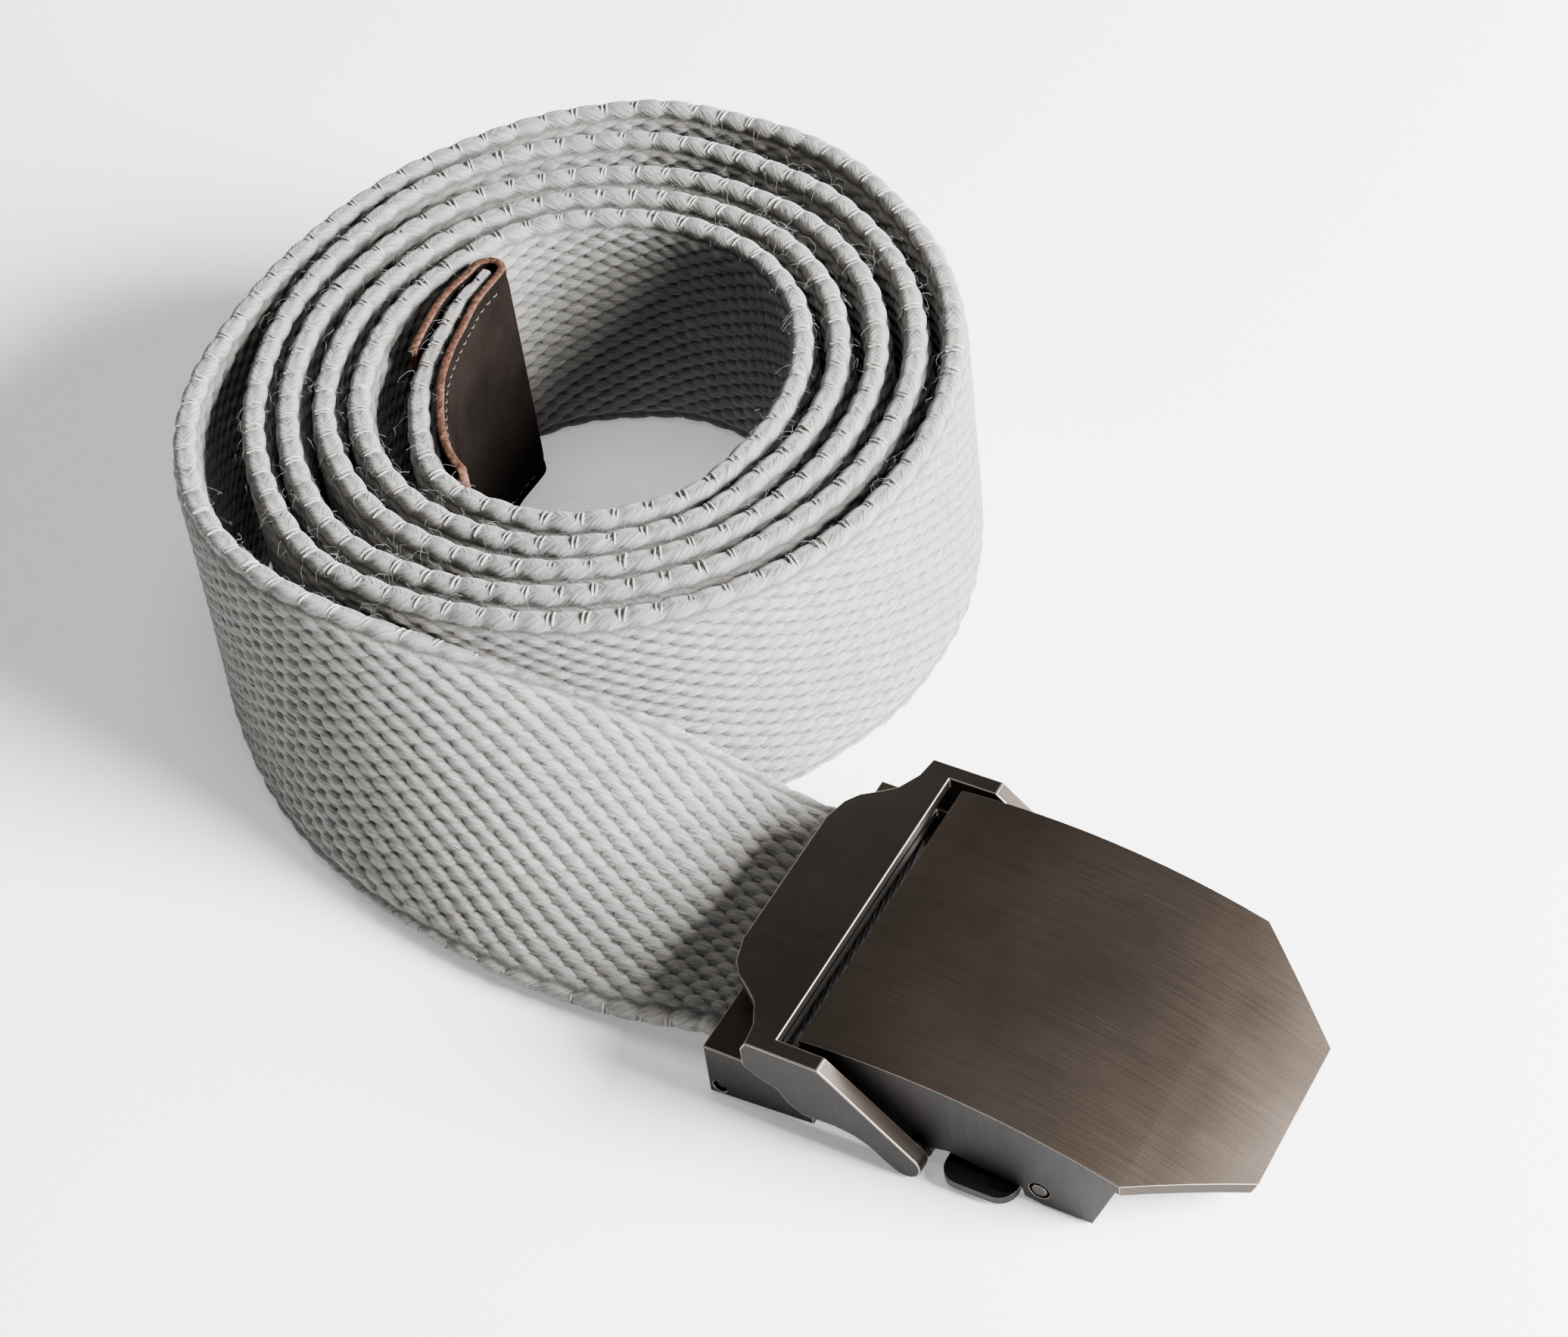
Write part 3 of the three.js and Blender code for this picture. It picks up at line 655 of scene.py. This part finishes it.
# %% [markdown]
# ## Weft turns and fuzz
#
# At each waist of the selvedge two weft yarns show as short bright loops laid over the edge.
# They are separate yarns, so they are separate little tubes here. Worn cotton also sheds
# single fibres, which catch the light along every edge.

# %% Weft loops over the selvedges
def place_on_band(along, turn, radius, edge):
    """Points at a distance along the band and an angle round its upper or lower edge."""
    index = np.interp(along, RUN, np.arange(len(RUN)))
    low = np.clip(index.astype(int), 0, len(RUN) - 2)
    share = (index - low)[..., None]

    def between(values):
        return values[low] * (1 - share) + values[low + 1] * share

    thick = np.interp(along, RUN, THICK)[..., None]
    out = (FACE_HALF + radius * np.cos(turn)) * edge
    off = radius * np.sin(turn)
    across = out[..., None] * between(WIDE)
    return between(CENTRE) + across + off[..., None] * thick * between(FACE)


LOOP_RADIUS = 0.17
LOOP_SIDES = 6
LOOP_SAMPLES = 7
LOOP_TURN = 52
LOOP_BESIDE_WAIST = 0.34
LOOP_SINK = 0.16
LOOP_END_DIVE = 0.30
COLUMNS_IN_CLAMP = 3.5


def weft_loops(material):
    """Two yarns at every waist of both selvedges: each follows the round edge over an arc,
    lies a little askew, and dives into the band at both ends with the fourth power of its
    angle."""
    waists = np.arange(0.5, RUN[-1] / COLUMN_PITCH - COLUMNS_IN_CLAMP) * COLUMN_PITCH
    turn = np.radians(np.linspace(-LOOP_TURN, LOOP_TURN, LOOP_SAMPLES))[None, :]
    paths, radii = [], []
    for edge in (1, -1):
        for side in (-LOOP_BESIDE_WAIST, LOOP_BESIDE_WAIST):
            jitter = rng.normal(0, 0.10, len(waists))
            tilt = rng.normal(0.25, 0.12, len(waists))[:, None]
            lift = rng.uniform(0.02, 0.14, len(waists))[:, None]
            along = (waists + side + jitter)[:, None] - tilt * np.sin(turn)
            dive = LOOP_END_DIVE * (turn / turn.max()) ** 4
            rise = EDGE_RADIUS - LOOP_SINK + lift - dive
            paths.append(place_on_band(along, turn + 0 * along, rise, edge))
            plumpness = rng.uniform(0.8, 1.2, len(waists))[:, None]
            radii.append(np.full(along.shape, LOOP_RADIUS) * plumpness)
    paths, radii = np.concatenate(paths), np.concatenate(radii)
    paths[..., 2] = np.maximum(paths[..., 2], LOOP_RADIUS + 0.03)
    return fine_tubes(
        "weft_loops", paths, radii, LOOP_SIDES, material, "strap_side"
    )


FIBRE_COUNT = 1800
FIBRE_RADIUS = 0.011
FIBRE_SIDES = 4
FIBRE_SAMPLES = 6
BARE_AT_TIP = 4
BARE_AT_CLAMP = 20
LOWEST_FIBRE_POINT = 0.05


def fuzz(material):
    """Loose fibres: each starts on the band's edge or face and curls away from it."""
    count = FIBRE_COUNT
    start = rng.uniform(BARE_AT_TIP, RUN[-1] - BARE_AT_CLAMP, count)[:, None]
    turn = rng.uniform(-1.3, 1.3, count)[:, None]
    edge = np.where(rng.random(count) < 0.8, 1.0, -1.0)[:, None]
    share = np.linspace(0, 1, FIBRE_SAMPLES)[None, :]
    length = rng.uniform(0.8, 3.4, count)[:, None]
    lift = rng.uniform(0.05, 0.75, count)[:, None] * length
    curl = rng.normal(0, 0.7, count)[:, None]
    along = start + length * rng.choice([-1, 1], count)[:, None] * share
    swing = turn + curl * share + 0.3 * np.sin(share * 7 + start)
    radius = EDGE_RADIUS - 0.05 + lift * np.sin(share * 2.2)
    paths = place_on_band(along, swing, radius, edge + 0 * along)
    paths[..., 2] = np.maximum(paths[..., 2], LOWEST_FIBRE_POINT)
    radii = np.full(along.shape, FIBRE_RADIUS)
    return fine_tubes(
        "loose_fibres", paths, radii, FIBRE_SIDES, material, "strap_side"
    )


yarn = cotton("weft yarn", (0.30, 0.287, 0.269), (0.21, 0.20, 0.187), woven=False)
fibre = cotton("loose fibre", (0.2, 0.195, 0.19), (0.15, 0.15, 0.15), woven=False)
loops = weft_loops(yarn)
fluff = fuzz(fibre)
print("weft loops:", len(loops.data.polygons), "fibres:", len(fluff.data.polygons))


# %% [markdown]
# ## The leather tip
#
# A strip of leather is skived, folded round the free end and stitched through. It is one closed
# strip here: a rounded section carried along the inner flap, round the fold and back along the
# outer flap. The cut edges stay raw, so they are lighter and redder than the finished face.

# %% The folded strip
LEATHER = 1.2
LEATHER_HALF = 19.2
INNER_FLAP_END = 211
OUTER_FLAP_END = 166
INNER_FLAP_SAMPLES = 90
OUTER_FLAP_SAMPLES = 50
FOLD_SAMPLES = 18
LEATHER_CORNER = 0.3
LEATHER_SAMPLES = 77
RAW_EDGE_WIDTH = 0.22
SEAM_WIDTH = 0.7
SEAM_DEPTH = 0.12
SEAM_STOPS = 2.2
PUFF = 0.02
EDGE_WAVE = 0.12
EDGE_WAVE_FROM = 17
LOWEST_LEATHER_POINT = 0.05
STITCH_INSET = 2.0


def flap_side(end_angle, distance, sign, samples):
    """Points beside the coil's edge from the free end to an angle, off its face."""
    end = np.interp(end_angle, STATIONS[:, 0], np.arange(len(STATIONS)))
    places = np.linspace(0, end, samples)
    feet = coil_feet(places)
    thick = np.interp(places, np.arange(len(STATIONS)), STATIONS[:, 2])
    ahead = unit(np.gradient(feet, axis=0))
    off = sign * (thick * THICKNESS / 2 + distance)
    return feet + np.column_stack([-ahead[:, 1], ahead[:, 0]]) * off[:, None]


def strip_line(distance):
    """The strip's line at a distance off the webbing: inner flap, round fold, outer flap."""
    inner = flap_side(INNER_FLAP_END, distance, 1, INNER_FLAP_SAMPLES)[::-1]
    outer = flap_side(OUTER_FLAP_END, distance, -1, OUTER_FLAP_SAMPLES)
    start = coil_feet(np.array([0.0, 0.01]))
    heading = math.atan2(*(start[1] - start[0])[::-1])
    turn = np.linspace(heading + math.pi / 2, heading + 1.5 * math.pi, FOLD_SAMPLES)[1:-1]
    radius = STATIONS[0, 2] * THICKNESS / 2 + distance
    fold = start[0] + radius * np.column_stack([np.cos(turn), np.sin(turn)])
    return np.vstack([inner, fold, outer]), len(inner)


def lengths_along(line):
    """The distance from a line's first point to each of its points."""
    return np.concatenate([[0], np.cumsum(np.linalg.norm(np.diff(line, axis=0), axis=1))])


def leather_section():
    """The strip's section: a flat bar with round corners, (across, off the middle)."""
    flat_half = LEATHER_HALF - LEATHER_CORNER
    across = np.linspace(-flat_half, flat_half, LEATHER_SAMPLES)
    corner = np.radians([70, 45, 20])
    round_off = np.column_stack([np.cos(corner), np.sin(corner)]) * LEATHER_CORNER
    up = round_off + [flat_half, LEATHER / 2 - LEATHER_CORNER]
    down = up[::-1] * [1, -1]
    face = np.column_stack([across, np.full(len(across), LEATHER / 2)])
    half = np.vstack([face, up, [[LEATHER_HALF, 0]], down])
    return np.vstack([half, -half])


def seam_dip(from_end, from_edge):
    """The groove that the stitches pull into the face: a bell curve across each seam line, at
    the stitches' distance from the long edges and from the flaps' ends."""
    edge_bell = np.exp(-(((from_edge - STITCH_INSET) / SEAM_WIDTH) ** 2))
    end_bell = np.exp(-(((from_end - STITCH_INSET) / SEAM_WIDTH) ** 2))
    along_edges = edge_bell[None, :] * (from_end > SEAM_STOPS)[:, None]
    across_ends = end_bell[:, None] * (from_edge > SEAM_STOPS)
    return SEAM_DEPTH * np.clip(along_edges + across_ends, 0, 1)


def leather_strip(material):
    """Rings along the strip's middle line: each ring point is the line's point plus its place
    off the middle times the outward direction, less the seam's dip, at its own height."""
    line, inner_count = strip_line(CLEARANCE + LEATHER / 2)
    ahead = unit(np.gradient(line, axis=0))
    outwards = np.column_stack([-ahead[:, 1], ahead[:, 0]])
    mid = line[inner_count // 2] - coil_feet(np.array([1.0]))[0]
    if (outwards[inner_count // 2] * mid).sum() < 0:
        outwards = -outwards
    lengths = lengths_along(line)
    ring = leather_section()
    across, off_middle = ring[:, 0], ring[:, 1]
    raw_side = (np.abs(across) > LEATHER_HALF - RAW_EDGE_WIDTH).astype(float)
    from_end = np.minimum(lengths, lengths[-1] - lengths)
    dip = seam_dip(from_end, LEATHER_HALF - np.abs(across)) * (off_middle > 0)
    puff = PUFF * np.sin(lengths * 0.9)[:, None] * np.sign(off_middle)[None, :]
    off = off_middle[None, :] - dip + puff
    level = line[:, None, :] + outwards[:, None, :] * off[..., None]
    near_rim = np.abs(across) > EDGE_WAVE_FROM
    lift = EDGE_WAVE * np.sin(lengths * 0.35)[:, None] * near_rim[None, :]
    height = WIDTH / 2 + across[None, :] + lift * np.sign(across)
    height = np.maximum(height, LOWEST_LEATHER_POINT)
    points = np.concatenate([level, height[..., None]], axis=-1)
    raw = np.maximum(raw_side[None, :], (from_end < 0.01)[:, None] * 1.0)
    faces = tube_faces(len(line), len(ring))
    piece = mesh_piece("leather_tip", points.reshape(-1, 3), faces, "strap_side")
    set_value(piece.data, "raw", raw.ravel())
    girth = np.linspace(0, 0.08, len(ring))
    texture = np.stack(np.broadcast_arrays(lengths[:, None] * MM, girth[None, :]), -1)
    set_uv(piece.data, texture.reshape(-1, 2))
    piece.data.materials.append(material)
    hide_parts("tip_leather")
    return piece


# %% Leather with a raw edge
SKIN_STOPS = [(0.3, (0.0035, 0.0028, 0.0024)), (0.75, (0.008, 0.006, 0.0052))]
FLESH_STOPS = [
    (0.3, (0.018, 0.009, 0.006)),
    (0.5, (0.055, 0.027, 0.019)),
    (0.72, (0.115, 0.063, 0.048)),
]


def leather():
    """Near-black grained skin, and a red-brown where the raw attribute is one."""
    material, tree, shader = new_material("dark leather")
    place = add(tree, "ShaderNodeTexCoord")
    grain = add(tree, "ShaderNodeTexVoronoi", Scale=1900.0, Randomness=1.0)
    join(tree, place.outputs["Object"], grain.inputs["Vector"])
    worn = add(tree, "ShaderNodeTexNoise", Scale=120.0, Detail=5.0, Roughness=0.62)
    join(tree, place.outputs["Object"], worn.inputs["Vector"])
    raw = add(tree, "ShaderNodeAttribute", attribute_name="raw")
    cut = add(tree, "ShaderNodeTexNoise", Scale=1400.0, Detail=4.0, Roughness=0.7)
    join(tree, place.outputs["Object"], cut.inputs["Vector"])
    skin = ramp(tree, worn.outputs["Fac"], SKIN_STOPS).outputs["Color"]
    flesh = ramp(tree, cut.outputs["Fac"], FLESH_STOPS).outputs["Color"]
    colour = mixed_colour(tree, skin, flesh, raw.outputs["Fac"], blend="MIX")
    join(tree, colour, shader.inputs["Base Color"])
    rough = ramp(tree, worn.outputs["Fac"], [(0.3, grey(0.7)), (0.7, grey(0.85))])
    join(tree, rough.outputs["Color"], shader.inputs["Roughness"])
    fine = add(tree, "ShaderNodeBump", Strength=0.5, Distance=0.00012)
    join(tree, grain.outputs["Distance"], fine.inputs["Height"])
    rough_cut = add(tree, "ShaderNodeBump", Strength=0.6, Distance=0.0002)
    join(tree, cut.outputs["Fac"], rough_cut.inputs["Height"])
    join(tree, fine.outputs["Normal"], rough_cut.inputs["Normal"])
    join(tree, rough_cut.outputs["Normal"], shader.inputs["Normal"])
    shader.inputs["IOR"].default_value = 1.04
    return material


dark_leather = leather()
tip = leather_strip(dark_leather)
print("leather tip faces:", len(tip.data.polygons))


# %% Stitches through the tip
STITCH_LENGTH = 1.1
STITCH_PITCH = 1.7
STITCH_RADIUS = 0.15
STITCH_SAMPLES = 7
STITCH_SIDES = 6
STITCH_TOP = 0.02
STITCH_DIVE = 0.35
STITCH_FLAP_SAMPLES = 200
STITCH_NEARER_EDGE = 0.2


def stitch_rows():
    """Short arched paths on the leather's face: along both long edges of each flap and up
    across its end. Each arch dives into the leather with the fourth power of the distance
    from its middle."""
    paths = []
    for end_angle, sign in ((INNER_FLAP_END, 1), (OUTER_FLAP_END, -1)):
        line = flap_side(end_angle, CLEARANCE + LEATHER, sign, STITCH_FLAP_SAMPLES)
        lengths = lengths_along(line)
        last_start = lengths[-1] - STITCH_INSET - STITCH_LENGTH / 2
        starts = np.arange(STITCH_INSET, last_start, STITCH_PITCH)
        share = np.linspace(0, 1, STITCH_SAMPLES)
        ahead = unit(np.gradient(line, axis=0))
        out = np.column_stack([-ahead[:, 1], ahead[:, 0]]) * sign
        arch = (STITCH_TOP - STITCH_DIVE * (2 * share - 1) ** 4)[:, None]

        def at(where, values):
            return np.column_stack([np.interp(where, lengths, column) for column in values.T])

        from_edge = STITCH_INSET - STITCH_NEARER_EDGE
        for height in (from_edge, WIDTH - from_edge):
            for start in starts:
                where = start + share * STITCH_LENGTH
                level = at(where, line) + at(where, out) * arch
                paths.append(np.column_stack([level, np.full(len(share), height)]))
        where = np.full(len(share), lengths[-1] - STITCH_INSET)
        for start in np.arange(STITCH_INSET + 1, WIDTH - STITCH_INSET - 2, STITCH_PITCH):
            level = at(where, line) + at(where, out) * arch
            paths.append(np.column_stack([level, start + share * STITCH_LENGTH]))
    return np.array(paths)


THREAD_STOPS = [(0.3, (0.004, 0.003, 0.0026)), (0.7, (0.017, 0.012, 0.010))]


def thread():
    """Dark waxed thread with a fine twist."""
    material, tree, shader = new_material("stitching thread")
    place = add(tree, "ShaderNodeTexCoord")
    twist = add(tree, "ShaderNodeTexNoise", Scale=2500.0, Detail=2.0)
    join(tree, place.outputs["Object"], twist.inputs["Vector"])
    tone = ramp(tree, twist.outputs["Fac"], THREAD_STOPS)
    join(tree, tone.outputs["Color"], shader.inputs["Base Color"])
    bump = add(tree, "ShaderNodeBump", Strength=0.5, Distance=0.0001)
    join(tree, twist.outputs["Fac"], bump.inputs["Height"])
    join(tree, bump.outputs["Normal"], shader.inputs["Normal"])
    shader.inputs["Roughness"].default_value = 0.6
    return material


stitch_paths = stitch_rows()
stitch_radii = np.full(stitch_paths.shape[:2], STITCH_RADIUS)
stitches = fine_tubes(
    "tip_stitches", stitch_paths, stitch_radii, STITCH_SIDES, thread(), "strap_side"
)
print("stitches:", len(stitch_paths))


# %% [markdown]
# ## The buckle's metal
#
# The buckle is pressed and cast metal, tumbled so that no edge is knife sharp, then brushed and
# plated dark. Each node keeps its CAD shape in a merged copy. A narrow bevel rounds its edges,
# and the bevel wears its own brighter metal, because plating rubs off the edges first.

# %% Brushed metal
# Scales of the brush strokes along x, y and z, in waves per metre
BRUSHED_TOPS = (90, 3200, 90)
BRUSHED_SIDES = (2200, 90, 90)
WORN_EDGES = (700, 700, 700)
PLAIN_STEEL = (900, 900, 900)
STROKE_DEPTH = 0.00006
STROKE_STRENGTH = 0.14


def metal(name, low, high, roughness, stretch):
    """Dark plated metal: brush strokes are noise stretched across the buckle, with slow
    patches of sheen over them and fine specks."""
    material, tree, shader = new_material(name)
    place = add(tree, "ShaderNodeTexCoord")
    strokes = add(tree, "ShaderNodeTexNoise", Scale=1.0, Detail=4.0, Roughness=0.7)
    join(tree, scaled(tree, place.outputs["Object"], stretch), strokes.inputs["Vector"])
    patches = add(tree, "ShaderNodeTexNoise", Scale=55.0, Detail=3.0, Roughness=0.55)
    join(tree, place.outputs["Object"], patches.inputs["Vector"])
    specks = add(tree, "ShaderNodeTexNoise", Scale=3200.0, Detail=2.0, Roughness=0.6)
    join(tree, place.outputs["Object"], specks.inputs["Vector"])
    tone = ramp(tree, patches.outputs["Fac"], [(0.3, low), (0.7, high)])
    streaks = ramp(tree, strokes.outputs["Fac"], [(0.3, grey(0.88)), (0.7, grey(1.0))])
    colour = mixed_colour(tree, tone.outputs["Color"], streaks.outputs["Color"], 0.8)
    join(tree, colour, shader.inputs["Base Color"])
    smoother, rougher = grey(roughness - 0.03), grey(roughness + 0.05)
    rough = ramp(tree, strokes.outputs["Fac"], [(0.25, smoother), (0.75, rougher)])
    join(tree, rough.outputs["Color"], shader.inputs["Roughness"])
    grain = reckon(tree, "ADD", strokes.outputs["Fac"], specks.outputs["Fac"])
    bump = add(tree, "ShaderNodeBump", Strength=STROKE_STRENGTH, Distance=STROKE_DEPTH)
    join(tree, grain, bump.inputs["Height"])
    join(tree, bump.outputs["Normal"], shader.inputs["Normal"])
    shader.inputs["Metallic"].default_value = 0.92
    return material


gunmetal = metal(
    "brushed gunmetal", (0.028, 0.0214, 0.0168), (0.044, 0.0338, 0.0265), 0.40, BRUSHED_TOPS
)
keeper_metal = metal(
    "brushed keeper", (0.016, 0.0128, 0.0105), (0.026, 0.021, 0.0172), 0.42, BRUSHED_TOPS
)
# Painted shade: the side walls get a darker copy of the plated metal than the tops, and their other
# brush direction is their finish.
shaded_wall_metal = metal(
    "satin side metal with painted shade", (0.0075, 0.0064, 0.006), (0.012, 0.0104, 0.0098), 0.48, BRUSHED_SIDES
)
edge_metal = metal(
    "worn edge metal", (0.15, 0.125, 0.103), (0.28, 0.237, 0.2), 0.34, WORN_EDGES
)
dark_steel = metal(
    "dark steel", (0.018, 0.017, 0.016), (0.03, 0.028, 0.026), 0.42, PLAIN_STEEL
)
dark_edge = metal(
    "dark steel edge", (0.06, 0.056, 0.052), (0.10, 0.092, 0.085), 0.36, PLAIN_STEEL
)
print("metals:", [material.name for material in (gunmetal, keeper_metal, shaded_wall_metal, edge_metal)])


# %% Copies of the CAD nodes with rounded edges
WELD_DISTANCE = 0.002
FLAT_ANGLE = math.radians(0.6)
SHARP_ANGLE = math.radians(28)
BEVEL_SEGMENTS = 3
FACES_SIDEWAYS = 0.9


def rounded_copy(node, body, slot_name, faces, edges, width):
    """A merged copy of a node: coplanar triangles joined, then a bevel on its sharp edges."""
    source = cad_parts[node]
    shape = bmesh.new()
    shape.from_mesh(source.data)
    shape.transform(source.matrix_world)
    bmesh.ops.remove_doubles(shape, verts=shape.verts, dist=WELD_DISTANCE * MM)
    bmesh.ops.dissolve_limit(
        shape, angle_limit=FLAT_ANGLE, verts=shape.verts, edges=shape.edges
    )
    bmesh.ops.recalc_face_normals(shape, faces=shape.faces)
    mesh = bpy.data.meshes.new(node + "_dressed")
    shape.to_mesh(mesh)
    shape.free()
    mesh.polygons.foreach_set("use_smooth", np.ones(len(mesh.polygons), bool))
    mesh.set_sharp_from_angle(angle=SHARP_ANGLE)
    for material in faces:
        mesh.materials.append(material)
    mesh.materials.append(edges)
    piece = bpy.data.objects.new(node + "_dressed", mesh)
    bpy.context.scene.collection.objects.link(piece)
    bevel = piece.modifiers.new("rounded edges", "BEVEL")
    bevel.width = width * MM
    bevel.segments = BEVEL_SEGMENTS
    bevel.limit_method = "ANGLE"
    bevel.angle_limit = SHARP_ANGLE
    bevel.use_clamp_overlap = True
    bevel.harden_normals = True
    bevel.material = len(mesh.materials) - 1
    # Faces turned sideways take the second metal, which carries painted shade.
    if len(faces) > 1:
        sides = [abs(polygon.normal.y) > FACES_SIDEWAYS for polygon in mesh.polygons]
        mesh.polygons.foreach_set("material_index", np.array(sides, np.int32))
    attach(piece, body)
    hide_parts(node)
    return piece


# Node, body, slot, metals of its top and its side walls, metal of its edges, bevel width in mm
METAL_NODES = [
    ("front_plate", "plate_side", "gunmetal", [gunmetal, shaded_wall_metal], edge_metal, 0.35),
    ("keeper_frame", "strap_side", "gunmetal", [keeper_metal, shaded_wall_metal], edge_metal, 0.4),
    ("end_clamp", "strap_side", "gunmetal", [keeper_metal, shaded_wall_metal], edge_metal, 0.2),
    ("clamp_jaw", "strap_side", "dark_steel", [dark_steel], dark_edge, 0.12),
    ("jaw_pin", "strap_side", "dark_steel", [dark_steel], dark_edge, 0.1),
    ("hinge_pin_near", "strap_side", "dark_steel", [dark_steel], dark_edge, 0.12),
    ("hinge_pin_far", "strap_side", "dark_steel", [dark_steel], dark_edge, 0.12),
    ("lever_pin", "plate_side", "dark_steel", [dark_steel], dark_edge, 0.12),
    ("lock_lever", "release", "dark_steel", [dark_steel], dark_edge, 0.2),
]
for row in METAL_NODES:
    rounded_copy(*row)
print("metal nodes dressed:", len(METAL_NODES))


# %% [markdown]
# ## Camera, floor and light
#
# The camera stands where the photographer's did, found by matching the buckle's corners and
# the coil's edge. The floor is plain and pale. One large soft light stands to the right, a
# weaker one above, and a pale room fills the rest.

# %% Camera
CAMERA_LEVEL = 0.8222, 0.5691, 0.0
CAMERA_LOOKS = -0.3965, 0.5729, -0.7173
CAMERA_AIM = 5.81, -13.91, 19.0
CAMERA_DISTANCE = 441.44
CAMERA_ROLL = math.radians(-8.17)
CAMERA_LENS = 78.66

looks = Vector(CAMERA_LOOKS).normalized()
level = Vector(CAMERA_LEVEL).normalized()
above = level.cross(looks)
right = level * math.cos(CAMERA_ROLL) + above * math.sin(CAMERA_ROLL)
top = above * math.cos(CAMERA_ROLL) - level * math.sin(CAMERA_ROLL)
stand = (Vector(CAMERA_AIM) - looks * CAMERA_DISTANCE) * MM
lens = bpy.data.cameras.new("camera")
lens.lens = CAMERA_LENS
lens.sensor_fit = "HORIZONTAL"
lens.sensor_width = 36
camera = bpy.data.objects.new("camera", lens)
turned = Matrix((right, top, -looks)).transposed().to_4x4()
camera.matrix_world = Matrix.Translation(stand) @ turned
bpy.context.scene.collection.objects.link(camera)
bpy.context.scene.camera = camera


# %% Floor and room
FLOOR_HALF = 3.0
# Painted glow: the floor's emission lights the belt from below and fills the floor's shadows.
FLOOR_GLOW = 0.3
ROOM_LIGHT = 0.09


def floor():
    """A plain pale square with a painted glow: its emission fills its own shadows and lights the
    belt from below.
    """
    half = FLOOR_HALF
    mesh = bpy.data.meshes.new("floor")
    mesh.from_pydata(
        [(-half, -half, 0), (half, -half, 0), (half, half, 0), (-half, half, 0)], [], [(0, 1, 2, 3)]
    )
    piece = bpy.data.objects.new("floor", mesh)
    bpy.context.scene.collection.objects.link(piece)
    material, tree, shader = new_material("pale floor")
    shader.inputs["Base Color"].default_value = (0.97, 0.97, 0.97, 1)
    shader.inputs["Roughness"].default_value = 0.9
    shader.inputs["Specular IOR Level"].default_value = 0.1
    shader.inputs["Emission Color"].default_value = (1, 1, 1, 1)
    shader.inputs["Emission Strength"].default_value = FLOOR_GLOW
    mesh.materials.append(material)
    return piece


def soft_light(name, place, aim, side, power):
    """A square soft light at a place in metres, turned to its aim, with its power in watts."""
    lamp = bpy.data.lights.new(name, "AREA")
    lamp.shape = "SQUARE"
    lamp.size = side
    lamp.energy = power
    piece = bpy.data.objects.new(name, lamp)
    piece.location = place
    piece.rotation_euler = (Vector(aim) - Vector(place)).to_track_quat("-Z", "Y").to_euler()
    bpy.context.scene.collection.objects.link(piece)
    return piece


floor()
world = bpy.data.worlds.new("pale room")
world.use_nodes = True
world.node_tree.nodes["Background"].inputs["Color"].default_value = (1, 1, 1, 1)
world.node_tree.nodes["Background"].inputs["Strength"].default_value = ROOM_LIGHT
bpy.context.scene.world = world
soft_light("key", place=(0.82, 0.16, 0.34), aim=(0.0, 0.0, 0.02), side=0.5, power=122)
soft_light("overhead", place=(-0.05, 0.05, 0.9), aim=(-0.03, 0.0, 0.02), side=0.5, power=3)
print("camera at", [round(value, 4) for value in stand])
